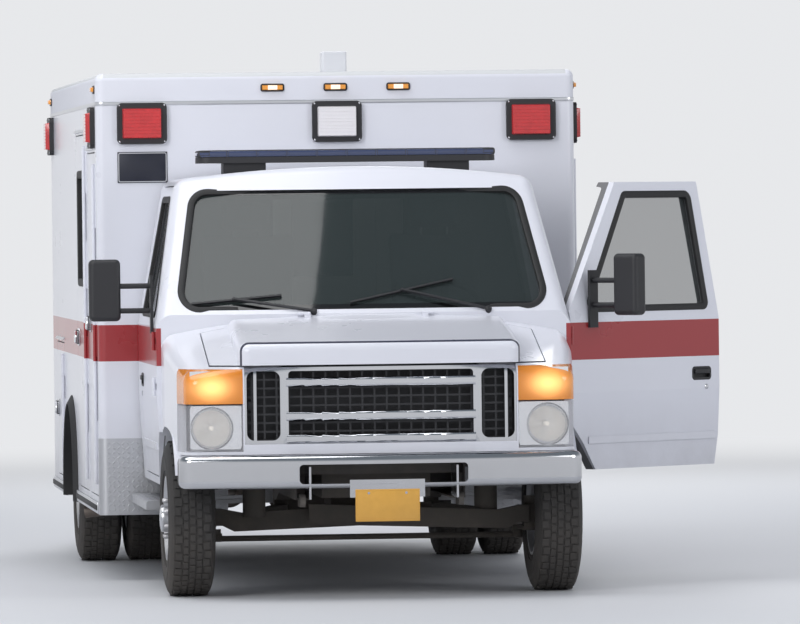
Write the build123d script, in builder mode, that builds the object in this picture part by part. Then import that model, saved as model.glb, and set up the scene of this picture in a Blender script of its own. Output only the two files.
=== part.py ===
from build123d import *
import os
from math import cos, radians, sin, sqrt

os.makedirs("parts", exist_ok=True)

# An ambulance with a box body on a van cutaway chassis, full size, in millimetres.
# Stations (y) run rearwards from the front of the bumper, heights (z) run up from the ground
# and widths (x) run from the centre plane, plus to the driver's side.

SIDES = (1, -1)

# Small gaps: shut lines, running fits, and the play between a hinge's barrels
PANEL_GAP = 6
BEARING_GAP = 0.3
HINGE_PLAY = 0.15
PLAY = 1

# Wheels and axles
FRONT_AXLE = 745
WHEELBASE = 4013
REAR_AXLE = FRONT_AXLE + WHEELBASE
TYRE_R = 372
TYRE_WIDTH = 225
TREAD_WIDTH = 176
SHOULDER = 10
BEAD_WIDTH = 184
RIM_R = 203
RIM_WIDTH = 204
RIM_DEPTH = 22
WHEEL_DISC = 14
DISC_BEND_R = 112
DISC_RISE = 52
HAND_HOLES = 8
HAND_HOLE_R = 19
HAND_HOLE_RING = 146
FRONT_TRACK = 1762
FRONT_DISC_OUT = 92
REAR_TRACK = 1900
TWIN_SPACING = 254
SPINDLE_R = 38
HUB_R = 66
HUB_LENGTH = 64
REAR_HUB_R = 58
REAR_HUB_OUT = 46
KINGPIN_X = 775
KINGPIN_R = 16
STEER_ARM = 160

# Frame
FRAME_WIDTH = 810
RAIL_FLANGE = 70
RAIL_DEPTH = 170
RAIL_WEB = 8
RAIL_LOW = 430
RAIL_RISE = 40
RAIL_OVER_AXLE = 530
FRAME_FRONT = 210
FRAME_REAR_GAP = 60
CROSSMEMBER = 90
RAIL_OUT = FRAME_WIDTH / 2
RAIL_IN = RAIL_OUT - RAIL_FLANGE
FRAME_TOP_FRONT = RAIL_LOW + RAIL_RISE + RAIL_DEPTH

# Cab
CAB_BACK = 2293
CAB_HALF = 1008
CAB_SKIN = 60
CAB_LOW = 520
TUMBLE_LOW = 350
TUMBLE_IN = 25
BELT = 1290
COWL_Y = 850
COWL_Z = BELT + 55
HEADER_Y = 1330
HEADER_Z = 1985
HEADER_ROUND = 80
ROOF_Z = 2058
ROOF_HALF = 876
ROOF_EDGE_Z = 1998
ROOF_ROUND = 75
GLASS_BOW = 95
CAB_FLOOR = 700
DOOR_START = 1000
DOOR_LENGTH = 1110
DOOR_END = DOOR_START + DOOR_LENGTH
DOOR_LOW = 562
DOOR_OPEN = 48.5
GLASS = 6
GLASS_SET = 18
GLASS_ROUND = 90
WINDOW_ROUND = 35

# Nose
NOSE_FRONT = 105
NOSE_HALF = 985
NOSE_LOW = 690
NOSE_SWEEP = 60
NOSE_CORNER = 80
NOSE_ROUND = 60
FENDER_ROUND = 80
FENDER_LOW = NOSE_LOW - 150
HOOD_FRONT_Z = 1150
HOOD_CROWN = 52
HOOD_SKIN = 40
HOOD_HALF = 800
HOOD_EDGE_Z = 1112
PANEL_HALF = 672
PANEL_TOP = 1210
PANEL_CROWN = 10
PANEL_OUT = 16
PANEL_DROP = 24
PANEL_CORNER = 60
PANEL_ROUND = 44
ARCH_R = 440
ARCH_LIP = 55

# Box body
BOX_START = 2330
BOX_LENGTH = 4240
BOX_END = BOX_START + BOX_LENGTH
BOX_HALF = 1206
BOX_TOP = 2540
BOX_SKIRT = 330
BOX_WALL = 45
BOX_FLOOR_TOP = 830
BOX_FLOOR = 70
BOX_CORNER = 40
BOX_CAP = 150
CAP_LOW = BOX_TOP - BOX_CAP
WALL_IN = BOX_HALF - BOX_WALL
REAR_ARCH_R = 460

# Leaf hinges of the doors: barrels on an upright axis that stands out from the face
HINGE_R = 9
AXIS_OUT = 11
HINGE_LEAF = 34
LEAF_THICK = 4
HINGE_END = 60

# Middle of the whole, between the right mirror and the open left door's edge, and over its length
MIRROR_OUT = CAB_HALF + 310
MIRROR_IN = CAB_HALF + 157
DOOR_REACH = CAB_HALF + AXIS_OUT * (1 - cos(radians(DOOR_OPEN))) + DOOR_LENGTH * sin(radians(DOOR_OPEN))
MIDDLE_X = (DOOR_REACH - MIRROR_OUT) / 2
STEP_DEPTH = 300
LENGTH = BOX_END + STEP_DEPTH
MIDDLE_Y = LENGTH / 2


def slab(x, y, z, mode=Mode.ADD):
    """A block between two limits on each axis."""
    with Locations(((x[0] + x[1]) / 2, (y[0] + y[1]) / 2, (z[0] + z[1]) / 2)):
        Box(abs(x[1] - x[0]), abs(y[1] - y[0]), abs(z[1] - z[0]), mode=mode)


def soft_slab(x, y, z, radius):
    """A block with all its edges rounded, as a piece of its own to add."""
    with BuildPart() as block:
        slab(x, y, z)
        fillet(block.edges(), radius)
    return block.part


def mirrored(side, limits):
    """Two limits of x on the driver's side, taken to the given side."""
    return (side * limits[0], side * limits[1])


def rod_x(x, y, z, radius, mode=Mode.ADD):
    """A cylinder along the width, between two limits of x."""
    with Locations(Location(((x[0] + x[1]) / 2, y, z), (0, 90, 0))):
        Cylinder(radius, abs(x[1] - x[0]), mode=mode)


def rod_y(x, y, z, radius, mode=Mode.ADD):
    """A cylinder along the length, between two limits of y."""
    with Locations(Location((x, (y[0] + y[1]) / 2, z), (90, 0, 0))):
        Cylinder(radius, abs(y[1] - y[0]), mode=mode)


def side_shape(points, x, mode=Mode.ADD):
    """A prism with a side view outline (y, z), between two limits of x."""
    with BuildSketch(Plane.YZ.offset(min(x))) as outline:
        with BuildLine():
            Polyline(*points, close=True)
        make_face()
    extrude(outline.sketch, amount=abs(x[1] - x[0]), mode=mode)


def side_hinge(face, side, y, low, high, barrels, on_door):
    """Barrels and leaves of a side door's hinge: the body has the even ones, the door the odd."""
    length = (high - low) / barrels
    leaf_end = y + (HINGE_LEAF if on_door else -HINGE_LEAF)
    for count in range(on_door, barrels, 2):
        middle = low + (count + 0.5) * length
        with Locations((side * (face + AXIS_OUT), y, middle)):
            Cylinder(HINGE_R, length - 2 * HINGE_PLAY)
        slab((side * face, side * (face + LEAF_THICK)), (y, leaf_end),
             (middle - length / 2 + HINGE_PLAY, middle + length / 2 - HINGE_PLAY))


def rear_hinge(side, low, high, barrels, on_door):
    """The same on the rear face, with its leaves along the width."""
    length = (high - low) / barrels
    x = REAR_DOOR_HALF - PANEL_GAP / 2
    leaf_end = x + (-HINGE_LEAF if on_door else HINGE_LEAF)
    for count in range(on_door, barrels, 2):
        middle = low + (count + 0.5) * length
        with Locations((side * x, BOX_END + AXIS_OUT, middle)):
            Cylinder(HINGE_R, length - 2 * HINGE_PLAY)
        slab((side * x, side * leaf_end), (BOX_END, BOX_END + LEAF_THICK),
             (middle - length / 2 + HINGE_PLAY, middle + length / 2 - HINGE_PLAY))


def framed_lamp(origin, out, width, height, rim, frame, depth, corner):
    """A lamp on a flat face: a rounded frame with its lens standing out of it."""
    across = (0, 1, 0) if out[0] else (1, 0, 0)
    face = Plane(origin=origin, x_dir=across, z_dir=out)
    with BuildSketch(face) as base:
        RectangleRounded(width, height, corner)
    extrude(base.sketch, amount=frame)
    with BuildSketch(face) as lens:
        RectangleRounded(width - 2 * rim, height - 2 * rim, corner / 2)
    extrude(lens.sketch, amount=depth, taper=LENS_TAPER)


def write(piece, label, turn=None):
    """Label a finished piece, move it over the middle of the whole and write it."""
    piece.part.label = label
    placed = piece.part if turn is None else piece.part.rotate(*turn)
    placed = placed.moved(Location((-MIDDLE_X, -MIDDLE_Y, 0)))
    placed.label = label
    export_step(placed, f"parts/{label}.step")


# Ladder frame: two kicked-up channel rails and the members between them

RAIL_LINE = (
    # station, height of the rail's lower edge
    (FRAME_FRONT, RAIL_LOW + RAIL_RISE),
    (FRONT_AXLE + 420, RAIL_LOW + RAIL_RISE),
    (FRONT_AXLE + 620, RAIL_LOW),
    (REAR_AXLE - 800, RAIL_LOW),
    (REAR_AXLE - 450, RAIL_OVER_AXLE),
    (REAR_AXLE + 450, RAIL_OVER_AXLE),
    (REAR_AXLE + 700, RAIL_OVER_AXLE - 30),
    (BOX_END - FRAME_REAR_GAP, RAIL_OVER_AXLE - 30),
)


def rail_outline(inset):
    """Side view of a rail, its flanges' thickness taken off above and below."""
    low = [(y, z + inset) for y, z in RAIL_LINE]
    high = [(y, z + RAIL_DEPTH - inset) for y, z in reversed(RAIL_LINE)]
    return low + high


def rail_low_at(station):
    """Height of the rail's lower edge at a station."""
    for (y0, z0), (y1, z1) in zip(RAIL_LINE, RAIL_LINE[1:]):
        if y0 <= station <= y1:
            return z0 + (z1 - z0) * (station - y0) / (y1 - y0)
    return RAIL_LINE[-1][1]


SPRING_TOWER_X = 560
SPRING_TOP = 600
SPRING_R = 55
TOWER_HALF = 55
TOWER_PLATE = 30
ARM_REAR = 1500
ARM_HALF = 30
ARM_REAR_X = (RAIL_IN, RAIL_OUT)
ARM_BRACKET = 50
TOW_EYE_X = (RAIL_OUT - 40, RAIL_OUT - 16)
TOW_EYE_Y = FRAME_FRONT - 70
TOW_EYE_Z = RAIL_LOW + RAIL_RISE - 2
TOW_EYE_R = 15
TOW_EYE_WALL = 15
MEMBERS = 7
MEMBER_START = ARM_REAR
MEMBER_STEP = 725
MEMBER_STATIONS = [MEMBER_START + count * MEMBER_STEP for count in range(MEMBERS)]

with BuildPart() as frame_rails:
    for side in SIDES:
        side_shape(rail_outline(0), mirrored(side, (RAIL_OUT, RAIL_IN)))
        side_shape(rail_outline(RAIL_WEB), mirrored(side, (RAIL_OUT - RAIL_WEB, RAIL_IN - PLAY)),
                   Mode.SUBTRACT)
    for station in [FRAME_FRONT + 120] + MEMBER_STATIONS + [BOX_END - 170]:
        low = rail_low_at(station) + RAIL_DEPTH - RAIL_WEB - CROSSMEMBER / 2
        slab((-RAIL_OUT + RAIL_WEB, RAIL_OUT - RAIL_WEB),
             (station - CROSSMEMBER / 2, station + CROSSMEMBER / 2), (low, low + CROSSMEMBER / 2))
    for side in SIDES:
        slab(mirrored(side, (RAIL_OUT - PLAY, SPRING_TOWER_X + TOWER_HALF)),
             (FRONT_AXLE - TOWER_HALF, FRONT_AXLE + TOWER_HALF), (SPRING_TOP, SPRING_TOP + TOWER_PLATE))
        slab(mirrored(side, ARM_REAR_X), (ARM_REAR - ARM_BRACKET, ARM_REAR),
             (TYRE_R + ARM_HALF + BEARING_GAP, RAIL_LOW + RAIL_WEB))
        slab(mirrored(side, TOW_EYE_X), (TOW_EYE_Y, FRAME_FRONT + 60),
             (TOW_EYE_Z - TOW_EYE_R - TOW_EYE_WALL, TOW_EYE_Z + TOW_EYE_R + TOW_EYE_WALL))
        rod_x(mirrored(side, TOW_EYE_X), TOW_EYE_Y, TOW_EYE_Z, TOW_EYE_R + TOW_EYE_WALL)
        rod_x(mirrored(side, (TOW_EYE_X[0] - PLAY, TOW_EYE_X[1] + PLAY)), TOW_EYE_Y, TOW_EYE_Z, TOW_EYE_R,
              Mode.SUBTRACT)
write(frame_rails, "frame_rails")

# Front axle: two crossed beams, each with its kingpin boss, and their radius arms

BEAM_LOW = TYRE_R - 60
BEAM_HIGH = TYRE_R + 40
BEAM_END = 40
BEAM_DEPTH = 50
BEAM_OFFSET = 45
BEAM_TAIL_X = 300
BEAM_OUT_X = KINGPIN_X - 12
BEAM_NECK_X = KINGPIN_X - 60
KINGPIN_BOSS_R = 32
KINGPIN_BOSS = 90
KINGPIN_LENGTH = 150

with BuildPart() as front_axle:
    for side in SIDES:
        middle = FRONT_AXLE - side * BEAM_OFFSET
        with BuildSketch(Plane.XZ.offset(-middle - BEAM_DEPTH / 2)) as beam:
            with BuildLine():
                Polyline((side * BEAM_OUT_X, TYRE_R + BEAM_END), (side * BEAM_OUT_X, TYRE_R - BEAM_END),
                         (side * BEAM_NECK_X, TYRE_R - BEAM_END), (side * (KINGPIN_X - 120), BEAM_LOW - 10),
                         (side * (50 - BEAM_TAIL_X), BEAM_LOW + 20), (-side * BEAM_TAIL_X, BEAM_LOW + 40),
                         (-side * BEAM_TAIL_X, BEAM_HIGH + 20), (side * (KINGPIN_X - 160), BEAM_HIGH - 20),
                         (side * BEAM_NECK_X, TYRE_R + BEAM_END), close=True)
            make_face()
        extrude(beam.sketch, amount=BEAM_DEPTH)
        slab(mirrored(side, (BEAM_NECK_X, BEAM_OUT_X)), (middle, FRONT_AXLE + side * 15),
             (TYRE_R - BEAM_END, TYRE_R + BEAM_END))
        with Locations((side * KINGPIN_X, FRONT_AXLE, TYRE_R)):
            Cylinder(KINGPIN_BOSS_R, KINGPIN_BOSS)
            Cylinder(KINGPIN_R, KINGPIN_LENGTH)
        with BuildSketch(Plane.XY.offset(TYRE_R - ARM_HALF)) as arm:
            with BuildLine():
                Polyline((side * (SPRING_TOWER_X + 25), middle), (side * ARM_REAR_X[1], ARM_REAR),
                         (side * ARM_REAR_X[0], ARM_REAR), (side * (SPRING_TOWER_X - 25), middle),
                         close=True)
            make_face()
        extrude(arm.sketch, amount=2 * ARM_HALF)
        with Locations((side * SPRING_TOWER_X, FRONT_AXLE, (TYRE_R + SPRING_TOP - BEARING_GAP) / 2)):
            Cylinder(SPRING_R, SPRING_TOP - BEARING_GAP - TYRE_R)
write(front_axle, "front_axle")

# Steering knuckles with their spindles and arms, and the tie rod under the arms

ARM_END_X = KINGPIN_X - 45
ARM_END_Y = FRONT_AXLE + STEER_ARM
ARM_LOW = TYRE_R - 75
ARM_THICK = 20
LUG_Z = 65
LUG_R = 30
LUG_HEIGHT = 36
KNUCKLE_X = (KINGPIN_X + 42, KINGPIN_X + 62)
TIE_R = 14
TIE_END_R = 26
TIE_END_HEIGHT = 40
FRONT_X = FRONT_TRACK / 2
REAR_X = REAR_TRACK / 2
HUB_FACE = FRONT_X + FRONT_DISC_OUT

for side, name in ((1, "left"), (-1, "right")):
    with BuildPart() as knuckle:
        for height in (TYRE_R - LUG_Z, TYRE_R + LUG_Z):
            with Locations((side * KINGPIN_X, FRONT_AXLE, height)):
                Cylinder(LUG_R, LUG_HEIGHT)
            slab(mirrored(side, (KINGPIN_X, KINGPIN_X + 50)), (FRONT_AXLE - 25, FRONT_AXLE + 25),
                 (height - LUG_HEIGHT / 2, height + LUG_HEIGHT / 2))
        slab(mirrored(side, KNUCKLE_X), (FRONT_AXLE - 35, FRONT_AXLE + 35),
             (TYRE_R - LUG_Z - LUG_HEIGHT / 2, TYRE_R + LUG_Z + LUG_HEIGHT / 2))
        rod_x(mirrored(side, (KINGPIN_X + 50, HUB_FACE - 10)), FRONT_AXLE, TYRE_R, SPINDLE_R)
        with BuildSketch(Plane.XY.offset(ARM_LOW - 8)) as arm:
            with BuildLine():
                Polyline((side * (KINGPIN_X + 20), FRONT_AXLE), (side * (ARM_END_X + 22), ARM_END_Y + 20),
                         (side * (ARM_END_X - 22), ARM_END_Y + 20), (side * (KINGPIN_X - 28), FRONT_AXLE),
                         close=True)
            make_face()
        extrude(arm.sketch, amount=ARM_THICK)
        with Locations((side * KINGPIN_X, FRONT_AXLE, TYRE_R)):
            Cylinder(KINGPIN_R + BEARING_GAP, 200, mode=Mode.SUBTRACT)
    write(knuckle, f"knuckle_{name}")

with BuildPart() as tie_rod:
    rod_x((-ARM_END_X + 20, ARM_END_X - 20), ARM_END_Y, ARM_LOW - TIE_END_HEIGHT + 6, TIE_R)
    for side in SIDES:
        with Locations((side * ARM_END_X, ARM_END_Y, ARM_LOW - 8 - BEARING_GAP - TIE_END_HEIGHT / 2)):
            Cylinder(TIE_END_R, TIE_END_HEIGHT)
write(tie_rod, "tie_rod")

# Rear axle with its leaf springs, and the drive shaft

SPRING_X = 520
SPRING_HALF_WIDTH = 38
LEAF = 14
LEAF_HALVES = (700, 560, 420, 300)
REAR_TUBE_R = 55
DIFF_R = 180
PINION_R = 60
PINION_FRONT = 255
HANGER_HALF = 40

with BuildPart() as rear_axle:
    rod_x((-REAR_X - REAR_HUB_OUT, REAR_X + REAR_HUB_OUT), REAR_AXLE, TYRE_R, REAR_HUB_R - BEARING_GAP)
    with Locations((0, REAR_AXLE, TYRE_R)):
        Sphere(DIFF_R)
    rod_y(0, (REAR_AXLE - PINION_FRONT, REAR_AXLE - DIFF_R / 2), TYRE_R, PINION_R)
    for side in SIDES:
        x = mirrored(side, (SPRING_X - SPRING_HALF_WIDTH, SPRING_X + SPRING_HALF_WIDTH))
        for count, half in enumerate(LEAF_HALVES):
            low = TYRE_R + REAR_TUBE_R + (len(LEAF_HALVES) - 1 - count) * LEAF
            slab(x, (REAR_AXLE - half, REAR_AXLE + half), (low, low + LEAF))
        slab(mirrored(side, (SPRING_X - 50, SPRING_X + 50)), (REAR_AXLE - 70, REAR_AXLE + 70),
             (TYRE_R - REAR_TUBE_R - 20, TYRE_R + REAR_TUBE_R))
        for end in (-1, 1):
            hanger = REAR_AXLE + end * LEAF_HALVES[0]
            slab(mirrored(side, (RAIL_OUT, SPRING_X + SPRING_HALF_WIDTH)),
                 (hanger - HANGER_HALF, hanger + HANGER_HALF),
                 (TYRE_R + REAR_TUBE_R + 2 * LEAF, RAIL_OVER_AXLE + 40))
write(rear_axle, "rear_axle")

ENGINE_Z = (470, 1040)
ENGINE_Y = (430, 950)
ENGINE_HALF = 260
GEARBOX_REAR = 1350
GEARBOX_HALF = 170
GEARBOX_Z = (410, 760)
SHAFT_R = 45

with BuildPart() as drive_shaft:
    rod_y(0, (GEARBOX_REAR, REAR_AXLE - PINION_FRONT), TYRE_R + SHAFT_R + 15, SHAFT_R)
write(drive_shaft, "drive_shaft")

with BuildPart() as engine:
    slab((-ENGINE_HALF, ENGINE_HALF), ENGINE_Y, ENGINE_Z)
    slab((-GEARBOX_HALF, GEARBOX_HALF), (ENGINE_Y[1] - PLAY, GEARBOX_REAR), GEARBOX_Z)
write(engine, "engine")

TANK_HALF = 300
TANK_Y = (REAR_AXLE + 592, BOX_END - 320)
TANK_LOW = 420
TANK_ROUND = 40
TANK_TOP = RAIL_LINE[-1][1] + RAIL_DEPTH - RAIL_WEB - CROSSMEMBER / 2 - BEARING_GAP
with BuildPart() as fuel_tank:
    slab((-TANK_HALF, TANK_HALF), TANK_Y, (TANK_LOW, TANK_TOP))
    fillet(fuel_tank.edges().filter_by(Axis.Y), TANK_ROUND)
write(fuel_tank, "fuel_tank")

MUFFLER_X = -RAIL_OUT - 100
MUFFLER_Y = (3050, 3650)
MUFFLER_Z = RAIL_LOW - 10
MUFFLER_R = 90
PIPE_R = 32
PIPE_FRONT = 2250
PIPE_BEND = (MUFFLER_X, MUFFLER_Y[1] + 200, MUFFLER_Z - 40)
PIPE_END = (-BOX_HALF + 16, MUFFLER_Y[1] + 320, BOX_SKIRT - 45)
PIPE_BEND_R = 110
with BuildPart() as exhaust:
    rod_y(MUFFLER_X, MUFFLER_Y, MUFFLER_Z, MUFFLER_R)
    fillet(exhaust.edges().filter_by(GeomType.CIRCLE), 20)
    rod_y(MUFFLER_X, (PIPE_FRONT, MUFFLER_Y[0] + 10), MUFFLER_Z, PIPE_R)
    with BuildLine() as pipe_line:
        FilletPolyline((MUFFLER_X, MUFFLER_Y[1] - 10, MUFFLER_Z), PIPE_BEND, PIPE_END, radius=PIPE_BEND_R)
    with BuildSketch(Plane(origin=pipe_line.line @ 0, z_dir=pipe_line.line % 0)) as pipe_end:
        Circle(PIPE_R)
    sweep(pipe_end.sketch, path=pipe_line.line)
    for station in (MUFFLER_Y[0] + 100, MUFFLER_Y[1] - 100):
        slab((MUFFLER_X, -RAIL_OUT - BEARING_GAP), (station - 15, station + 15),
             (RAIL_LOW + 20, RAIL_LOW + 70))
write(exhaust, "exhaust")

# Wheels: tyres and steel rims, single in front and twins behind


def wheel_plane(station):
    """Upright plane along the axle's centre line, for half sections of a wheel."""
    return Plane(origin=(0, station, TYRE_R), x_dir=(1, 0, 0), z_dir=(0, -1, 0))


def tyre_section(middle, station):
    """A tyre, revolved about its axle from its half section."""
    half = TYRE_WIDTH / 2
    tread = TREAD_WIDTH / 2
    bead = BEAD_WIDTH / 2
    waist = (RIM_R + TYRE_R) / 2
    with BuildSketch(wheel_plane(station)) as section:
        with BuildLine():
            for end in (-1, 1):
                ThreePointArc((middle + end * bead, RIM_R), (middle + end * half, waist),
                              (middle + end * (tread + SHOULDER), TYRE_R - SHOULDER))
                Line((middle + end * (tread + SHOULDER), TYRE_R - SHOULDER), (middle + end * tread, TYRE_R))
            Line((middle - bead, RIM_R), (middle + bead, RIM_R))
            Line((middle - tread, TYRE_R), (middle + tread, TYRE_R))
        make_face()
    revolve(section.sketch, axis=Axis((0, station, TYRE_R), (1, 0, 0)))


def rim_barrel(middle, station):
    """The barrel of a wheel between its two flanges, revolved about its axle."""
    half = RIM_WIDTH / 2
    with BuildSketch(wheel_plane(station)) as section:
        with BuildLine():
            Polyline((middle - half, RIM_R), (middle - half, RIM_R - 12),
                     (middle - half + 20, RIM_R - RIM_DEPTH),
                     (middle + half - 20, RIM_R - RIM_DEPTH), (middle + half, RIM_R - 12),
                     (middle + half, RIM_R),
                     close=True)
        make_face()
    revolve(section.sketch, axis=Axis((0, station, TYRE_R), (1, 0, 0)))


def wheel_disc(face, station, toward, bore):
    """A wheel's disc from its bolted face, dished towards one side, with its ring of hand holes."""
    rim = RIM_R - RIM_DEPTH + 2
    with BuildSketch(wheel_plane(station)) as section:
        with BuildLine():
            Polyline((face, bore), (face + toward * WHEEL_DISC, bore),
                     (face + toward * WHEEL_DISC, DISC_BEND_R),
                     (face + toward * (DISC_RISE + WHEEL_DISC), rim), (face + toward * DISC_RISE, rim),
                     (face, DISC_BEND_R), close=True)
        make_face()
    revolve(section.sketch, axis=Axis((0, station, TYRE_R), (1, 0, 0)))
    for count in range(HAND_HOLES):
        angle = radians((count + 0.5) * 360 / HAND_HOLES)
        rod_x((face - toward * DISC_RISE, face + toward * 2 * DISC_RISE),
              station + HAND_HOLE_RING * cos(angle),
              TYRE_R + HAND_HOLE_RING * sin(angle), HAND_HOLE_R, Mode.SUBTRACT)


for side, name in ((1, "left"), (-1, "right")):
    with BuildPart() as front_tyre:
        tyre_section(side * FRONT_X, FRONT_AXLE)
    write(front_tyre, f"front_{name}_tyre")
    with BuildPart() as front_rim:
        rim_barrel(side * FRONT_X, FRONT_AXLE)
        wheel_disc(side * HUB_FACE, FRONT_AXLE, -side, SPINDLE_R + BEARING_GAP)
        rod_x(mirrored(side, (HUB_FACE - HUB_LENGTH, HUB_FACE + 30)), FRONT_AXLE, TYRE_R, HUB_R)
        rod_x(mirrored(side, (HUB_FACE - HUB_LENGTH - PLAY, HUB_FACE)), FRONT_AXLE, TYRE_R,
              SPINDLE_R + BEARING_GAP, Mode.SUBTRACT)
    write(front_rim, f"front_{name}_rim")
    with BuildPart() as rear_tyres:
        for shift in (-TWIN_SPACING / 2, TWIN_SPACING / 2):
            tyre_section(side * REAR_X + shift, REAR_AXLE)
    write(rear_tyres, f"rear_{name}_tyres")
    with BuildPart() as rear_rims:
        for end in (-1, 1):
            rim_barrel(side * REAR_X + end * TWIN_SPACING / 2, REAR_AXLE)
            wheel_disc(side * REAR_X, REAR_AXLE, end, REAR_HUB_R)
        rod_x(mirrored(side, (REAR_X, REAR_X + REAR_HUB_OUT + 14)), REAR_AXLE, TYRE_R, HUB_R + 14)
        rod_x(mirrored(side, (REAR_X - 2 * WHEEL_DISC, REAR_X + REAR_HUB_OUT + BEARING_GAP)), REAR_AXLE,
              TYRE_R,
              REAR_HUB_R, Mode.SUBTRACT)
    write(rear_rims, f"rear_{name}_rims")

# Cab: one outer form, drawn in evenly for the inner side, the doors and the glass


def cab_form(inset):
    """The cab's form, drawn in by an even amount from its outer skin."""
    rise = Vector(0, HEADER_Y - COWL_Y, HEADER_Z - COWL_Z).normalized()
    side_y = COWL_Y + GLASS_BOW + inset
    half = CAB_HALF - inset
    roof_half = ROOF_HALF - inset
    low = CAB_LOW + inset
    edge_z = ROOF_EDGE_Z - inset
    start = CAB_LOW - CAB_SKIN
    with BuildPart() as form:
        for height, amount, along in ((start, COWL_Z - start, Vector(0, 0, 1)), (COWL_Z, CAB_HALF, rise)):
            with BuildSketch(Plane.XY.offset(height)) as plan:
                with BuildLine():
                    ThreePointArc((-CAB_HALF, side_y), (0, COWL_Y + inset), (CAB_HALF, side_y))
                    Polyline((CAB_HALF, side_y), (CAB_HALF, CAB_BACK), (-CAB_HALF, CAB_BACK),
                             (-CAB_HALF, side_y))
                make_face()
            extrude(plan.sketch, amount=amount, dir=along)
        with BuildSketch(Plane.XZ.offset(-(CAB_BACK - inset))) as section:
            with BuildLine():
                Polyline((-roof_half, edge_z), (-half, BELT), (-half, BELT - TUMBLE_LOW),
                         (TUMBLE_IN - half, low),
                         (half - TUMBLE_IN, low), (half, BELT - TUMBLE_LOW), (half, BELT),
                         (roof_half, edge_z))
                ThreePointArc((roof_half, edge_z), (0, ROOF_Z - inset), (-roof_half, edge_z))
            make_face()
            fillet(section.vertices().group_by(Axis.Y)[-1], ROOF_ROUND - inset)
        extrude(section.sketch, amount=CAB_BACK, dir=Vector(0, -1, 0), mode=Mode.INTERSECT)
    return form.part


def round_header(form):
    """The cab's form with the edge between its windshield and its roof rounded."""
    with BuildPart() as rounded:
        add(form)
        front = rounded.edges().filter_by(lambda edge: edge.center().Y < HEADER_Y + HEADER_ROUND)
        header = front.filter_by(lambda edge: edge.center().Z > HEADER_Z - HEADER_ROUND)
        fillet(header.filter_by(lambda edge: edge.bounding_box().size.X > WINDOW_ROUND), HEADER_ROUND)
    return rounded.part


def side_prism(outline, side, inner, grow=0, radius=0):
    """A prism out through one side of the cab from a side view outline, grown by a gap."""
    with BuildPart() as prism:
        with BuildSketch(Plane.YZ.offset(side * inner)) as sketch:
            with BuildLine():
                Polyline(*outline, close=True)
            make_face()
            if radius:
                fillet(sketch.vertices(), radius)
            if grow:
                offset(amount=grow, mode=Mode.REPLACE)
        extrude(amount=CAB_HALF + 200 - inner, dir=Vector(side, 0, 0))
    return prism.part


def behind_arch(height):
    """Station just behind the front wheel arch's lip, at a height."""
    return FRONT_AXLE + sqrt(ARCH_R ** 2 - (height - TYRE_R) ** 2) + ARCH_LIP


DOOR_STEP = DOOR_LOW + 130
DOOR_HIGH = HEADER_Z - 20
DOOR_LINE = (
    (DOOR_START, COWL_Z - 10), (DOOR_START, DOOR_LOW + 240), (behind_arch(DOOR_STEP), DOOR_STEP),
    (behind_arch(DOOR_LOW), DOOR_LOW), (DOOR_END - 20, DOOR_LOW), (DOOR_END, DOOR_LOW + 150),
             (DOOR_END, BELT),
    (DOOR_END - 15, DOOR_HIGH), (DOOR_START + 480, DOOR_HIGH),
)
WINDOW_LOW = COWL_Z - 5
WINDOW_HIGH = HEADER_Z - 75
WINDOW_LINE = (
    (DOOR_START + 120, WINDOW_LOW), (DOOR_START + 530, WINDOW_HIGH), (DOOR_END - 85, WINDOW_HIGH),
    (DOOR_END - 75, WINDOW_LOW),
)
GLASS_LOW_HALF = CAB_HALF - 103
GLASS_HIGH_HALF = ROOF_HALF - 76
GLASS_LOW_Z = COWL_Z + 20
GLASS_HIGH_Z = HEADER_Z - 40
WINDSHIELD_LINE = (
    (-GLASS_LOW_HALF, GLASS_LOW_Z), (GLASS_LOW_HALF, GLASS_LOW_Z),
    (GLASS_HIGH_HALF, GLASS_HIGH_Z), (-GLASS_HIGH_HALF, GLASS_HIGH_Z),
)

cab_outer = round_header(cab_form(0))
cab_inner = cab_form(CAB_SKIN)
DOOR_INNER_X = ROOF_HALF - 100


def front_prism(outline, grow, radius):
    """A prism from the nose back into the cab, from a front view outline."""
    with BuildPart() as prism:
        with BuildSketch(Plane.XZ.offset(-HEADER_Y - 260)) as sketch:
            with BuildLine():
                Polyline(*outline, close=True)
            make_face()
            fillet(sketch.vertices(), radius)
            if grow:
                offset(amount=grow, mode=Mode.REPLACE)
        extrude(amount=HEADER_Y + 200, dir=Vector(0, -1, 0))
    return prism.part


CAB_HINGE_Y = DOOR_START - PANEL_GAP / 2
CAB_HINGE_Z = (BELT - 290, BELT - 70)
CAB_HINGE_HALF = 45
LINER_IN_X = 620
LINER_THICK = 14
ENGINE_COVER_HALF = 300
ENGINE_COVER_END = 1400
ENGINE_COVER_TOP = 1080
COVER_THICK = 30
TUNNEL_TOP = FRAME_TOP_FRONT + 10
WALK_HALF = 330
WALK_TOP = HEADER_Z - 85
BODY_MOUNTS = ((FRONT_AXLE + 355, FRAME_TOP_FRONT), (CAB_BACK - 193, RAIL_LOW + RAIL_DEPTH))
BODY_MOUNT_R = 30

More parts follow.
